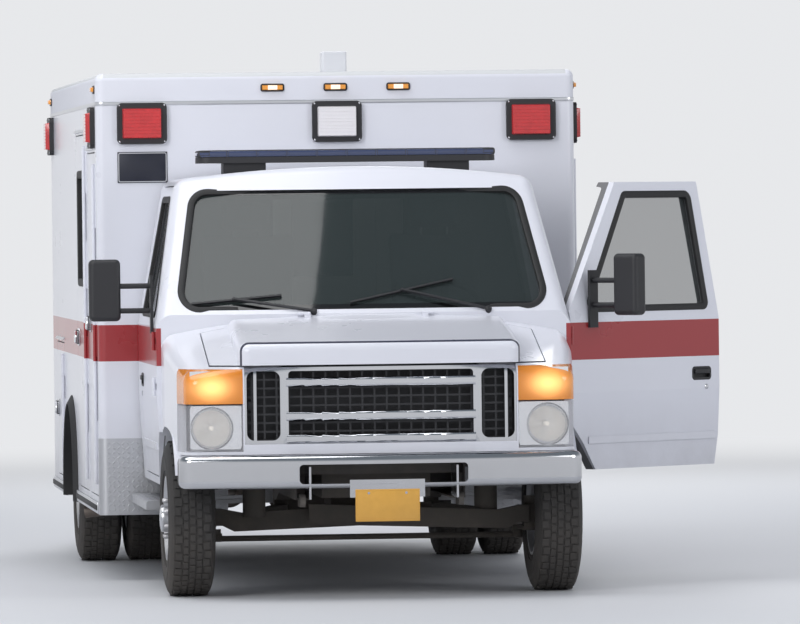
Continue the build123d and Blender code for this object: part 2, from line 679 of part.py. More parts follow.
with BuildPart() as cab_shell:
    add(cab_outer)
    add(cab_inner, mode=Mode.SUBTRACT)
    slab((-CAB_HALF + 40, CAB_HALF - 40), (COWL_Y + 90, CAB_BACK - 20), (TUNNEL_TOP, CAB_FLOOR))
    slab((-CAB_HALF + 90, CAB_HALF - 90), (COWL_Y - 100, CAB_BACK + 10), (CAB_LOW - 10, TUNNEL_TOP),
         Mode.SUBTRACT)
    slab((-ENGINE_COVER_HALF - COVER_THICK, ENGINE_COVER_HALF + COVER_THICK),
         (COWL_Y + 50, ENGINE_COVER_END + COVER_THICK), (TUNNEL_TOP, ENGINE_COVER_TOP + COVER_THICK))
    slab((-ENGINE_COVER_HALF, ENGINE_COVER_HALF), (COWL_Y - 50, ENGINE_COVER_END),
         (CAB_LOW, ENGINE_COVER_TOP),
         Mode.SUBTRACT)
    for side in SIDES:
        add(side_prism(DOOR_LINE, side, DOOR_INNER_X - PANEL_GAP, PANEL_GAP), mode=Mode.SUBTRACT)
        slab(mirrored(side, (CAB_HALF - 90, LINER_IN_X - 20)), (COWL_Y + 30, FRONT_AXLE + ARCH_R),
             (TUNNEL_TOP, TYRE_R + ARCH_R + LINER_THICK + 30))
        rod_x(mirrored(side, (LINER_IN_X - 30, CAB_HALF + 50)), FRONT_AXLE, TYRE_R,
              ARCH_R + LINER_THICK + PLAY,
              Mode.SUBTRACT)
    add(front_prism(WINDSHIELD_LINE, 0, GLASS_ROUND), mode=Mode.SUBTRACT)
    slab((-WALK_HALF, WALK_HALF), (CAB_BACK - 100, CAB_BACK + 10), (CAB_FLOOR + 60, WALK_TOP), Mode.SUBTRACT)
    for side in SIDES:
        for z in CAB_HINGE_Z:
            side_hinge(CAB_HALF, side, CAB_HINGE_Y, z - CAB_HINGE_HALF, z + CAB_HINGE_HALF, 3, False)
        for station, rail_top in BODY_MOUNTS:
            with Locations((side * (RAIL_OUT + RAIL_IN) / 2, station,
                            (rail_top + BEARING_GAP + CAB_FLOOR) / 2)):
                Cylinder(BODY_MOUNT_R, CAB_FLOOR - rail_top - BEARING_GAP)
write(cab_shell, "cab_shell")

# Windshield, cab doors with their glass and mirrors

glass_outer = cab_form(GLASS_SET)
glass_inner = cab_form(GLASS_SET + GLASS)

with BuildPart() as windshield:
    add(front_prism(WINDSHIELD_LINE, -BEARING_GAP, GLASS_ROUND))
    add(glass_outer, mode=Mode.INTERSECT)
    add(glass_inner, mode=Mode.SUBTRACT)
write(windshield, "windshield")

MIRROR_Z = (1316, 1616)
MIRROR_Y = (DOOR_START + 130, DOOR_START + 215)
MIRROR_ROUND = 24
MIRROR_RIM = 14
MIRROR_ARMS = (MIRROR_Z[0] + 50, MIRROR_Z[1] - 130)
MIRROR_ARM_R = 13
MIRROR_FOOT = 14
HANDLE_Z = 1015
HANDLE_Y = (DOOR_END - 200, DOOR_END - 70)
HANDLE_HALF = 26
STRIP_Z = 707
STRIP_HALF = 17
STRIP_OUT = 6
DOOR_TRIM = 25

for side, name in ((1, "left"), (-1, "right")):
    turn = (Axis((side * (CAB_HALF + AXIS_OUT), CAB_HINGE_Y, 0), (0, 0, 1)), -DOOR_OPEN)
    turn = turn if side == 1 else None
    with BuildPart() as door:
        add(side_prism(DOOR_LINE, side, DOOR_INNER_X))
        add(cab_outer, mode=Mode.INTERSECT)
        add(cab_inner, mode=Mode.SUBTRACT)
        slab((0, side * (CAB_HALF - CAB_SKIN - DOOR_TRIM)), (DOOR_START, DOOR_END), (0, CAB_FLOOR),
             Mode.SUBTRACT)
        add(side_prism(WINDOW_LINE, side, DOOR_INNER_X / 2, 0, WINDOW_ROUND), mode=Mode.SUBTRACT)
        slab(mirrored(side, (CAB_HALF - TUMBLE_IN, CAB_HALF - TUMBLE_IN / 2 + STRIP_OUT)),
             (behind_arch(STRIP_Z) + 50, DOOR_END - 30), (STRIP_Z - STRIP_HALF, STRIP_Z + STRIP_HALF))
        slab(mirrored(side, (CAB_HALF - 22, CAB_HALF + PLAY)), HANDLE_Y,
             (HANDLE_Z - HANDLE_HALF, HANDLE_Z + HANDLE_HALF),
             Mode.SUBTRACT)
        slab(mirrored(side, (CAB_HALF - 23, CAB_HALF + 8)), (HANDLE_Y[0] + 12, HANDLE_Y[1] - 12),
             (HANDLE_Z, HANDLE_Z + HANDLE_HALF - 8))
        for z in CAB_HINGE_Z:
            side_hinge(CAB_HALF, side, CAB_HINGE_Y, z - CAB_HINGE_HALF, z + CAB_HINGE_HALF, 3, True)
    write(door, f"{name}_door", turn)
    with BuildPart() as glass:
        add(side_prism(WINDOW_LINE, side, DOOR_INNER_X / 2, -BEARING_GAP, WINDOW_ROUND))
        add(glass_outer, mode=Mode.INTERSECT)
        add(glass_inner, mode=Mode.SUBTRACT)
    write(glass, f"{name}_door_glass", turn)
    with BuildPart() as mirror:
        add(soft_slab(mirrored(side, (MIRROR_IN, MIRROR_OUT)), MIRROR_Y, MIRROR_Z, MIRROR_ROUND))
        slab(mirrored(side, (MIRROR_IN + MIRROR_RIM, MIRROR_OUT - MIRROR_RIM)),
             (MIRROR_Y[1] - 8, MIRROR_Y[1] + 8),
             (MIRROR_Z[0] + MIRROR_RIM, MIRROR_Z[1] - MIRROR_RIM), Mode.SUBTRACT)
        for height in MIRROR_ARMS:
            rod_x(mirrored(side, (CAB_HALF + BEARING_GAP, MIRROR_IN + MIRROR_ROUND)), MIRROR_Y[0] + 30,
                  height,
                  MIRROR_ARM_R)
        slab(mirrored(side, (CAB_HALF + BEARING_GAP, CAB_HALF + MIRROR_FOOT)),
             (MIRROR_Y[0], MIRROR_Y[0] + 60),
             (BELT - 34, MIRROR_ARMS[1] + 50))
    write(mirror, f"{name}_mirror", turn)

# Nose: fenders with the cowl, the hood, the grille and the headlamps

HOOD_REAR = COWL_Y - 14
HOOD_AXIS_Z = COWL_Z
LAMP_LENS = 8
BAR_SKIN = 26
GRILLE_SKIN = 34
MESH_THICK = 9


def nose_form(inset):
    """The nose from the grille back past the cowl, drawn in evenly, its front edge rounded."""
    slope = Vector(0, NOSE_FRONT - COWL_Y, HOOD_FRONT_Z - COWL_Z)
    half = NOSE_HALF - inset
    edge_z = BELT - 20 - inset
    front = NOSE_FRONT + inset
    sweep_y = front + NOSE_SWEEP
    rear_half = half + 40
    with BuildPart() as form:
        with BuildSketch(Plane.XZ.offset(-COWL_Y - 200)) as section:
            with BuildLine():
                Polyline((-half, edge_z), (-half, RAIL_IN), (half, RAIL_IN), (half, edge_z))
                ThreePointArc((half, edge_z), (0, COWL_Z + HOOD_CROWN - inset), (-half, edge_z))
            make_face()
            fillet(section.vertices().group_by(Axis.Y)[-1], FENDER_ROUND - inset)
        extrude(section.sketch, amount=1400, dir=slope.normalized())
        with BuildSketch(Plane.XY.offset(FENDER_LOW - inset)) as plan:
            with BuildLine():
                Polyline((NOSE_SWEEP - half, sweep_y), (-rear_half, COWL_Y + 300), (rear_half, COWL_Y + 300),
                         (half - NOSE_SWEEP, sweep_y))
                ThreePointArc((half - NOSE_SWEEP, sweep_y), (0, front), (NOSE_SWEEP - half, sweep_y))
            make_face()
            fillet(plan.vertices().group_by(Axis.Y)[0], NOSE_CORNER - inset)
        extrude(plan.sketch, amount=2000, dir=Vector(0, 0, 1), mode=Mode.INTERSECT)
        front_edges = form.edges().filter_by(lambda edge: edge.center().Y < NOSE_FRONT + 170)
        top_edges = front_edges.filter_by(lambda edge: edge.center().Z > BELT - 390
                                          and abs(edge.tangent_at(0.5).Z) < 0.75)
        fillet(top_edges.filter_by(lambda edge: edge.bounding_box().size.X > 30), NOSE_ROUND - inset * 7 / 8)
    return form.part


def hood_panel_form(inset):
    """The raised panel along the middle of the hood, drawn in evenly, with a rounded brow."""
    half = PANEL_HALF - inset
    front_z = PANEL_TOP - inset
    rear_z = COWL_Z - PANEL_DROP - inset
    front = NOSE_FRONT - PANEL_OUT + inset
    sweep_y = front + NOSE_SWEEP * (PANEL_HALF / NOSE_HALF) ** 2
    low = HOOD_EDGE_Z - inset
    fall = Vector(0, NOSE_FRONT - HOOD_REAR, front_z - rear_z)
    with BuildPart() as form:
        with BuildSketch(Plane.XZ.offset(-HOOD_REAR)) as section:
            with BuildLine():
                Polyline((-half, rear_z), (-half, low - HOOD_SKIN), (half, low - HOOD_SKIN), (half, rear_z))
                ThreePointArc((half, rear_z), (0, rear_z + PANEL_CROWN), (-half, rear_z))
            make_face()
        extrude(section.sketch, amount=fall.length + 2 * NOSE_SWEEP, dir=fall.normalized())
        with BuildSketch(Plane.XY.offset(low)) as plan:
            with BuildLine():
                Polyline((-half, sweep_y), (-half, HOOD_REAR), (half, HOOD_REAR), (half, sweep_y))
                ThreePointArc((half, sweep_y), (0, front), (-half, sweep_y))
            make_face()
            fillet(plan.vertices().group_by(Axis.Y)[0], PANEL_CORNER - inset)
        extrude(plan.sketch, amount=NOSE_HALF, dir=Vector(0, 0, 1), mode=Mode.INTERSECT)
        top = form.faces().sort_by(Axis.Z)[-1]
        brow = top.edges().filter_by(lambda edge: edge.center().Y < HOOD_REAR - 1)
        fillet(brow, PANEL_ROUND - inset * 33 / 40)
    return form.part


nose_outer = nose_form(0)
nose_lens_back = nose_form(LAMP_LENS)
nose_bar_back = nose_form(BAR_SKIN)
nose_grille_back = nose_form(GRILLE_SKIN)
nose_inner = nose_form(HOOD_SKIN)
nose_support = nose_form(HOOD_SKIN + BEARING_GAP)
nose_mesh_back = nose_form(HOOD_SKIN + MESH_THICK)

HOOD_LINE = (
    (-HOOD_HALF + 90, NOSE_FRONT - 30), (-HOOD_HALF, NOSE_FRONT + 140), (-HOOD_HALF, HOOD_REAR),
    (HOOD_HALF, HOOD_REAR), (HOOD_HALF, NOSE_FRONT + 140), (HOOD_HALF - 90, NOSE_FRONT - 30),
)


def hood_prism(grow):
    """A prism up through the nose from the hood's plan outline."""
    with BuildPart() as prism:
        with BuildSketch(Plane.XY.offset(HOOD_EDGE_Z - grow)) as plan:
            with BuildLine():
                Polyline(*HOOD_LINE, close=True)
            make_face()
            if grow:
                offset(amount=grow, mode=Mode.REPLACE)
        extrude(plan.sketch, amount=600, dir=Vector(0, 0, 1))
    return prism.part


LAMP_IN = 655
LAMP_Z = (705, 1095)
LAMP_SPLIT = 928
LAMP_REAR = NOSE_FRONT + 300


def lamp_prism(side, low, high, grow):
    """A prism back through the nose from a headlamp's front view outline."""
    with BuildPart() as prism:
        slab(mirrored(side, (LAMP_IN - grow, NOSE_HALF + 60)), (NOSE_FRONT - 60, LAMP_REAR + grow),
             (low - grow, high + grow))
    return prism.part


GRILLE_HALF = 648
GRILLE_Z = (738, 1102)
GRILLE_REAR = NOSE_FRONT + 98
GRILLE_MIDDLE = (GRILLE_Z[0] + GRILLE_Z[1]) / 2
HOOD_HINGE_X = (270, 300, 330)
HOOD_LEAF_LOW = HOOD_AXIS_Z - 30


def hood_hinge(side, x, y):
    """A barrel of the hood's hinge on its axis, with the leaf that carries it."""
    rod_x(mirrored(side, x), HOOD_REAR + PANEL_GAP / 2, HOOD_AXIS_Z, HINGE_R)
    slab(mirrored(side, x), y, (HOOD_LEAF_LOW, HOOD_AXIS_Z - HINGE_R / 2))


with BuildPart() as fenders:
    add(nose_outer)
    add(nose_inner, mode=Mode.SUBTRACT)
    add(hood_prism(PANEL_GAP), mode=Mode.SUBTRACT)
    slab((-NOSE_HALF - 10, NOSE_HALF + 10), (0, NOSE_FRONT + 220), (FENDER_LOW - 60, NOSE_LOW),
         Mode.SUBTRACT)
    slab((-GRILLE_HALF, GRILLE_HALF), (NOSE_FRONT - 50, GRILLE_REAR + 2), (GRILLE_Z[0], HOOD_EDGE_Z),
         Mode.SUBTRACT)
    for side in SIDES:
        add(lamp_prism(side, LAMP_Z[0], LAMP_Z[1], BEARING_GAP), mode=Mode.SUBTRACT)
    add(cab_outer, mode=Mode.SUBTRACT)
    for side in SIDES:
        rod_x(mirrored(side, (LINER_IN_X + 80, NOSE_HALF + 50)), FRONT_AXLE, TYRE_R, ARCH_R, Mode.SUBTRACT)
        with BuildSketch(Plane.YZ.offset(side * LINER_IN_X)) as liner:
            with Locations((FRONT_AXLE, TYRE_R)):
                Circle(ARCH_R + LINER_THICK)
                Circle(ARCH_R + 2, mode=Mode.SUBTRACT)
                Rectangle(3 * ARCH_R, 2 * ARCH_R, align=(Align.CENTER, Align.MAX), mode=Mode.SUBTRACT)
                with Locations((0, ARCH_R)):
                    Rectangle(3 * ARCH_R, 2 * ARCH_R - 2 * (NOSE_LOW - 100 - TYRE_R), mode=Mode.INTERSECT)
        extrude(liner.sketch, amount=NOSE_HALF - LINER_IN_X - HOOD_SKIN / 2, dir=Vector(side, 0, 0))
        hood_hinge(side, (HOOD_HINGE_X[1] + HINGE_PLAY, HOOD_HINGE_X[2]),
                   (HOOD_REAR + PANEL_GAP, COWL_Y + 6))
write(fenders, "fenders")

with BuildPart() as hood:
    add(nose_outer)
    add(hood_panel_form(0))
    add(nose_inner, mode=Mode.SUBTRACT)
    add(hood_panel_form(HOOD_SKIN), mode=Mode.SUBTRACT)
    add(hood_prism(0), mode=Mode.INTERSECT)
    for side in SIDES:
        hood_hinge(side, (HOOD_HINGE_X[0], HOOD_HINGE_X[1] - HINGE_PLAY),
                   (HOOD_REAR - HINGE_LEAF, HOOD_REAR))
write(hood, "hood")

with BuildPart() as headlamps:
    for side in SIDES:
        for low, high in ((LAMP_Z[0], LAMP_SPLIT - 3), (LAMP_SPLIT + 3, LAMP_Z[1])):
            add(lamp_prism(side, low, high, 0))
    add(nose_outer, mode=Mode.INTERSECT)
    add(nose_lens_back, mode=Mode.SUBTRACT)
write(headlamps, "headlamps")

# Radiator support behind the grille: the core, the mesh in front of it and the lamp housings

SUPPORT_Y = (NOSE_FRONT + 135, NOSE_FRONT + 165)
SUPPORT_HALF = LAMP_IN - 3
MESH_BAR = 9
MESH_PITCH = (58, 41)
MESH_COUNT = (22, 9)
MESH_HALF = GRILLE_HALF - 20
HOUSING_X = (SUPPORT_HALF - 12, NOSE_HALF - 60)
HOUSING_Y = (NOSE_FRONT + 60, NOSE_FRONT + 240)
LAMP_BOWLS = (
    # x, station, height, radius
    (800, NOSE_FRONT + 70, 815, 104),
    (800, NOSE_FRONT + 80, 1010, 76),
)

with BuildPart() as lamp_housings:
    for side in SIDES:
        slab(mirrored(side, HOUSING_X), HOUSING_Y, (LAMP_Z[0] + 8, LAMP_Z[1] - 8))
    add(nose_support, mode=Mode.INTERSECT)
    for side in SIDES:
        for x, station, height, radius in LAMP_BOWLS:
            with Locations((side * x, station + HOOD_SKIN / 2, height)):
                Sphere(radius, mode=Mode.SUBTRACT)

with BuildPart() as mesh:
    with BuildSketch(Plane.XZ.offset(-GRILLE_REAR)) as grid:
        with Locations((0, GRILLE_MIDDLE)):
            with GridLocations(MESH_PITCH[0], 0, MESH_COUNT[0], 1):
                Rectangle(MESH_BAR, GRILLE_Z[1] - GRILLE_Z[0] - 8)
            with GridLocations(0, MESH_PITCH[1], 1, MESH_COUNT[1]):
                Rectangle(2 * MESH_HALF, MESH_BAR)
    extrude(grid.sketch, amount=GRILLE_REAR - NOSE_FRONT)
    add(nose_support, mode=Mode.INTERSECT)
    add(nose_mesh_back, mode=Mode.SUBTRACT)

with BuildPart() as radiator_support:
    slab((-SUPPORT_HALF, SUPPORT_HALF), SUPPORT_Y, (NOSE_LOW, HOOD_FRONT_Z + 300))
    slab((-SUPPORT_HALF, SUPPORT_HALF), (NOSE_FRONT, SUPPORT_Y[1]), (NOSE_LOW, NOSE_LOW + 30))
    add(nose_support, mode=Mode.INTERSECT)
    for side in SIDES:
        slab(mirrored(side, (MESH_HALF - 30, MESH_HALF)), (GRILLE_REAR - 25, SUPPORT_Y[1]),
             (GRILLE_MIDDLE - 20, GRILLE_MIDDLE + 20))
    add(mesh.part)
    add(lamp_housings.part)
write(radiator_support, "radiator_support")

# Grille: a bowed frame with three thick bars across the middle and a nostril on each side

GRILLE_OPEN_HALF = 440
GRILLE_EDGE = 18
GRILLE_BARS = (1030, 869, 761)
GRILLE_BAR = 44
NOSTRIL_X = 558
NOSTRIL_WIDTH = 158
NOSTRIL_STRIP = 14
with BuildPart() as grille:
    with BuildSketch(Plane.XZ.offset(-GRILLE_REAR)) as face:
        with Locations((0, GRILLE_MIDDLE)):
            Rectangle(2 * (GRILLE_HALF - BEARING_GAP), GRILLE_Z[1] - GRILLE_Z[0] - 2 * BEARING_GAP)
            RectangleRounded(2 * GRILLE_OPEN_HALF, GRILLE_Z[1] - GRILLE_Z[0] - 2 * GRILLE_EDGE, GRILLE_EDGE,
                             mode=Mode.SUBTRACT)
        for side in SIDES:
            with Locations((side * NOSTRIL_X, GRILLE_MIDDLE)):
                RectangleRounded(NOSTRIL_WIDTH, GRILLE_Z[1] - GRILLE_Z[0] - 2 * GRILLE_EDGE, 2 * GRILLE_EDGE,
                                 mode=Mode.SUBTRACT)
            with Locations((side * (NOSTRIL_X + NOSTRIL_WIDTH / 4), GRILLE_MIDDLE)):
                Rectangle(NOSTRIL_STRIP, GRILLE_Z[1] - GRILLE_Z[0] - GRILLE_EDGE)
    extrude(face.sketch, amount=GRILLE_REAR - NOSE_FRONT + 40)
    add(nose_lens_back, mode=Mode.INTERSECT)
    add(nose_grille_back, mode=Mode.SUBTRACT)
with BuildPart() as grille_bars:
    with BuildSketch(Plane.XZ.offset(-GRILLE_REAR)) as bands:
        for height in GRILLE_BARS:
            with Locations((0, height)):
                Rectangle(2 * (GRILLE_OPEN_HALF + 10), GRILLE_BAR)
    extrude(bands.sketch, amount=GRILLE_REAR - NOSE_FRONT + 40)
    add(nose_outer, mode=Mode.INTERSECT)
    add(nose_bar_back, mode=Mode.SUBTRACT)
    bar_fronts = grille_bars.edges().filter_by(lambda edge: edge.length > 2 * GRILLE_OPEN_HALF)
    fillet(bar_fronts.filter_by(lambda edge: edge.center().Y < NOSE_FRONT + 20), GRILLE_BAR / 4)
with BuildPart() as whole_grille:
    add(grille.part)
    add(grille_bars.part)
write(whole_grille, "grille")

# Bumper: a bowed chrome shell with its lower opening, the plate's bracket and the two frame horns

BUMPER_HALF = 960
BUMPER_Z = (529, 688)
BUMPER_BOW = 130
BUMPER_RETURN = 130
BUMPER_SKIN = 8
BUMPER_ROUND = 34
BUMPER_CORNER = 70
FRAME_SIDE = 40
BUMPER_SLOT_HALF = 400
BUMPER_SLOT_Z = (551, 643)
BUMPER_SLOT_ROUND = 20
HORN_X = (RAIL_OUT - 60, RAIL_OUT - 50)
PLATE_X = 14
PLATE_HOLES = 178
PLATE_HOLE_R = 3.5
PLATE_HOLE_Z = BUMPER_Z[0] - 24
PLATE_BRACKET_Y = (BUMPER_SKIN / 2, BUMPER_SKIN / 2 + 6)


def bumper_form(inset):
    """The bumper's bowed form, drawn in evenly, with its front edges rounded."""
    half = BUMPER_HALF - inset
    rear = BUMPER_BOW + BUMPER_RETURN
    with BuildPart() as form:
        with BuildSketch(Plane.XY.offset(BUMPER_Z[0] + inset)) as plan:
            with BuildLine():
                ThreePointArc((-half, BUMPER_BOW + inset), (0, inset), (half, BUMPER_BOW + inset))
                Polyline((half, BUMPER_BOW + inset), (half, rear), (-half, rear),
                         (-half, BUMPER_BOW + inset))
            make_face()
            fillet(plan.vertices().group_by(Axis.Y)[0], BUMPER_CORNER - inset)
        extrude(plan.sketch, amount=BUMPER_Z[1] - BUMPER_Z[0] - 2 * inset)
        level = form.edges().filter_by(lambda edge: abs(edge.tangent_at(0.5).Z) < 0.1)
        fillet(level.filter_by(lambda edge: edge.center().Y < rear - 1), BUMPER_ROUND - inset)
    return form.part


with BuildPart() as front_bumper:
    add(bumper_form(0))
    add(bumper_form(BUMPER_SKIN), mode=Mode.SUBTRACT)
    slab((-RAIL_OUT - FRAME_SIDE, RAIL_OUT + FRAME_SIDE), (BUMPER_BOW - 40, FRAME_FRONT + 60),
         (BUMPER_Z[0] - PLAY, BUMPER_Z[1] + PLAY), Mode.SUBTRACT)
    with BuildSketch(Plane.XZ.offset(-BUMPER_BOW)) as slot:
        with Locations((0, (BUMPER_SLOT_Z[0] + BUMPER_SLOT_Z[1]) / 2)):
            RectangleRounded(2 * BUMPER_SLOT_HALF, BUMPER_SLOT_Z[1] - BUMPER_SLOT_Z[0], BUMPER_SLOT_ROUND)
    extrude(slot.sketch, amount=2 * BUMPER_BOW, mode=Mode.SUBTRACT)
    for side in SIDES:
        slab(mirrored(side, HORN_X), (BUMPER_BOW / 5, FRAME_FRONT + 60),
             (RAIL_LOW + RAIL_RISE + RAIL_WEB + BEARING_GAP, FRAME_TOP_FRONT - RAIL_WEB - BEARING_GAP))
    slab((PLATE_X - PLATE_HOLES, PLATE_X + PLATE_HOLES), PLATE_BRACKET_Y,
         (PLATE_HOLE_Z - 20, BUMPER_Z[0] + 40))
    for end in (-1, 1):
        rod_y(PLATE_X + end * PLATE_HOLES / 2, (PLATE_BRACKET_Y[0] - PLAY, PLATE_BRACKET_Y[1] + PLAY),
              PLATE_HOLE_Z,
              PLATE_HOLE_R, Mode.SUBTRACT)
write(front_bumper, "front_bumper")

# Cab fittings: dashboard with the column and wheel, seats, light bar, running boards

WHEEL_X = 430
WHEEL_Y = COWL_Y + 400
WHEEL_Z = BELT - 30
WHEEL_R = 195
WHEEL_RIM_R = 15
WHEEL_TILT = -62
COLUMN_R = 30
COLUMN_LENGTH = 220
DASH_HALF = CAB_HALF - 113
DASH_LOW = ENGINE_COVER_TOP + COVER_THICK + PLAY
DASH_LINE = (
    (COWL_Y, DASH_LOW), (COWL_Y, COWL_Z - 15), (COWL_Y + 200, COWL_Z), (COWL_Y + 330, BELT),
    (COWL_Y + 345, BELT - 60), (COWL_Y + 300, DASH_LOW),
)
with BuildPart() as dashboard:
    side_shape(DASH_LINE, (-DASH_HALF, DASH_HALF))
    add(cab_inner, mode=Mode.INTERSECT)
    with Locations(Location((WHEEL_X, WHEEL_Y, WHEEL_Z), (WHEEL_TILT, 0, 0))):
        Cylinder(COLUMN_R, COLUMN_LENGTH)
        with Locations((0, 0, COLUMN_LENGTH / 2)):
            Torus(WHEEL_R, WHEEL_RIM_R)
            Cylinder(2 * COLUMN_R, COLUMN_R)
            with Locations((0, -WHEEL_R / 2, 0)):
                Box(COLUMN_R, WHEEL_R, WHEEL_RIM_R)
            Box(2 * WHEEL_R, COLUMN_R, WHEEL_RIM_R)
write(dashboard, "dashboard")

SEAT_X = 470
SEAT_HALF = 240
SEAT_Y = (1492, 2030)
SEAT_Z = (960, 1105)
SEAT_ROUND = 35
SEAT_FOOT_HALF = 180
SEAT_BACK_TOP = 1720
HEADREST_HALF = 130
HEADREST_Z = (SEAT_BACK_TOP + 25, SEAT_BACK_TOP + 185)
HEADREST_Y = (2105, 2195)
BACK_LINE = (
    (SEAT_Y[1] - 45, SEAT_Z[1] - 60), (SEAT_Y[1] + 70, SEAT_BACK_TOP), (SEAT_Y[1] + 160, SEAT_BACK_TOP),
    (SEAT_Y[1] + 60, SEAT_Z[1] - 60),
)
with BuildPart() as seats:
    for side in SIDES:
        x = (side * SEAT_X - SEAT_HALF, side * SEAT_X + SEAT_HALF)
        slab((side * SEAT_X - SEAT_FOOT_HALF, side * SEAT_X + SEAT_FOOT_HALF),
             (SEAT_Y[0] + 60, SEAT_Y[1] - 40),
             (CAB_FLOOR + BEARING_GAP, SEAT_Z[0] + 10))
        add(soft_slab(x, SEAT_Y, SEAT_Z, SEAT_ROUND))
        side_shape(BACK_LINE, x)
        add(soft_slab((side * SEAT_X - HEADREST_HALF, side * SEAT_X + HEADREST_HALF), HEADREST_Y, HEADREST_Z,
                      SEAT_ROUND))
        for end in (-1, 1):
            with Locations((side * SEAT_X + end * HEADREST_HALF / 2, HEADREST_Y[0] + 45, SEAT_BACK_TOP)):
                Cylinder(8, 90)
write(seats, "seats")

LIGHT_BAR_HALF = 740
LIGHT_BAR_Y = (1740, 1960)
LIGHT_BAR_Z = (2082, 2110, 2146)
LIGHT_BAR_ROUND = 60
LIGHT_BAR_FOOT_X = (400, 610)
LIGHT_BAR_IN = 8
with BuildPart() as light_bar:
    for inset, low, high in ((0, LIGHT_BAR_Z[0], LIGHT_BAR_Z[1]),
                             (LIGHT_BAR_IN, LIGHT_BAR_Z[1], LIGHT_BAR_Z[2])):
        with BuildSketch(Plane.XY.offset(low)) as tier:
            with Locations((0, (LIGHT_BAR_Y[0] + LIGHT_BAR_Y[1]) / 2)):
                RectangleRounded(2 * (LIGHT_BAR_HALF - inset), LIGHT_BAR_Y[1] - LIGHT_BAR_Y[0] - 2 * inset,
                                 LIGHT_BAR_ROUND - inset)
        extrude(tier.sketch, amount=high - low)
    fillet(light_bar.edges().group_by(Axis.Z)[-1], 2 * LIGHT_BAR_IN)
    for side in SIDES:
        slab(mirrored(side, LIGHT_BAR_FOOT_X), (LIGHT_BAR_Y[0] + 30, LIGHT_BAR_Y[1] - 30),
             (ROOF_EDGE_Z, LIGHT_BAR_Z[0] + PLAY))
    add(cab_outer, mode=Mode.SUBTRACT)
write(light_bar, "light_bar")

BOARD_X = (CAB_HALF - 170, CAB_HALF + 40)
BOARD_Y = (FRONT_AXLE + 480, CAB_BACK)
BOARD_Z = (396, 440)
BOARD_SKIN = 5
BOARD_ROUND = 14
BOARD_ARM_HALF = 30
with BuildPart() as running_boards:
    for side in SIDES:
        slab(mirrored(side, BOARD_X), BOARD_Y, BOARD_Z)
    board_edges = running_boards.edges().filter_by(Axis.Y).group_by(Axis.Z)[-1]
    fillet(board_edges.filter_by(lambda edge: abs(edge.center().X) > CAB_HALF), BOARD_ROUND)
    for side in SIDES:
        slab(mirrored(side, (BOARD_X[0] + BOARD_SKIN, BOARD_X[1] - BOARD_SKIN)),
             (BOARD_Y[0] + BOARD_SKIN, BOARD_Y[1] - BOARD_SKIN),
             (BOARD_Z[0] - PLAY, BOARD_Z[1] - 3 * BOARD_SKIN),
             Mode.SUBTRACT)
        for station in (BOARD_Y[0] + 330, BOARD_Y[1] - 200):
            slab(mirrored(side, (RAIL_OUT + BEARING_GAP, BOARD_X[1] - 20)),
                 (station - BOARD_ARM_HALF, station + BOARD_ARM_HALF),
                 (BOARD_Z[0] + 14, BOARD_Z[1] - 2 * BOARD_SKIN))
            slab(mirrored(side, (RAIL_OUT + BEARING_GAP, RAIL_OUT + RAIL_FLANGE)),
                 (station - BOARD_ARM_HALF, station + BOARD_ARM_HALF), (BOARD_Z[0] + 14, RAIL_LOW + 60))
write(running_boards, "running_boards")

# Box body: floor on its sills, roof cap, four walls with the lockers behind them

LINER = 12
LOCKER_LOW = 420
LOCKER_DEPTH = 455
SHORT_TOP = 1250
REAR_TOP = 1500
BENCH_TOP = 1150
TALL_TOP = CAP_LOW - 240
FRONT_LOCKER_Y = (BOX_START + 120, BOX_START + 770)
MIDDLE_LOCKER_Y = (BOX_START + 920, BOX_START + 1620)
REAR_LOCKER_Y = (BOX_END - 1150, BOX_END - 450)
LOCKERS = (
    # name, side, first station, last station, low, high, depth
    ("left_front_locker", 1, *FRONT_LOCKER_Y, LOCKER_LOW, TALL_TOP, LOCKER_DEPTH),
    ("left_middle_locker", 1, *MIDDLE_LOCKER_Y, LOCKER_LOW, SHORT_TOP, LOCKER_DEPTH),
    ("left_rear_locker", 1, *REAR_LOCKER_Y, LOCKER_LOW, REAR_TOP, LOCKER_DEPTH),
    ("right_front_locker", -1, *FRONT_LOCKER_Y, LOCKER_LOW, TALL_TOP, LOCKER_DEPTH),
    ("right_rear_locker", -1, *REAR_LOCKER_Y, LOCKER_LOW, BENCH_TOP, LOCKER_DEPTH),
)
ENTRY_Y = (BOX_START + 920, BOX_START + 1800)
ENTRY_Z = (LOCKER_LOW, CAP_LOW - 140)
ENTRY_DEPTH = 400

REAR_DOOR_HALF = 600
REAR_DOOR_Z = (BOX_FLOOR_TOP, CAP_LOW - 90)
FRAME_MEMBER_TOP = RAIL_OVER_AXLE + RAIL_DEPTH


def locker_slab(locker, grow, mode):
    """The block of space behind a locker's door, grown on all sides but the outer."""
    side, y0, y1, z0, z1, depth = locker[1:]
    slab((side * (BOX_HALF - depth - grow), side * (BOX_HALF - 5)), (y0 - grow, y1 + grow),
         (z0 - grow, z1 + grow), mode)


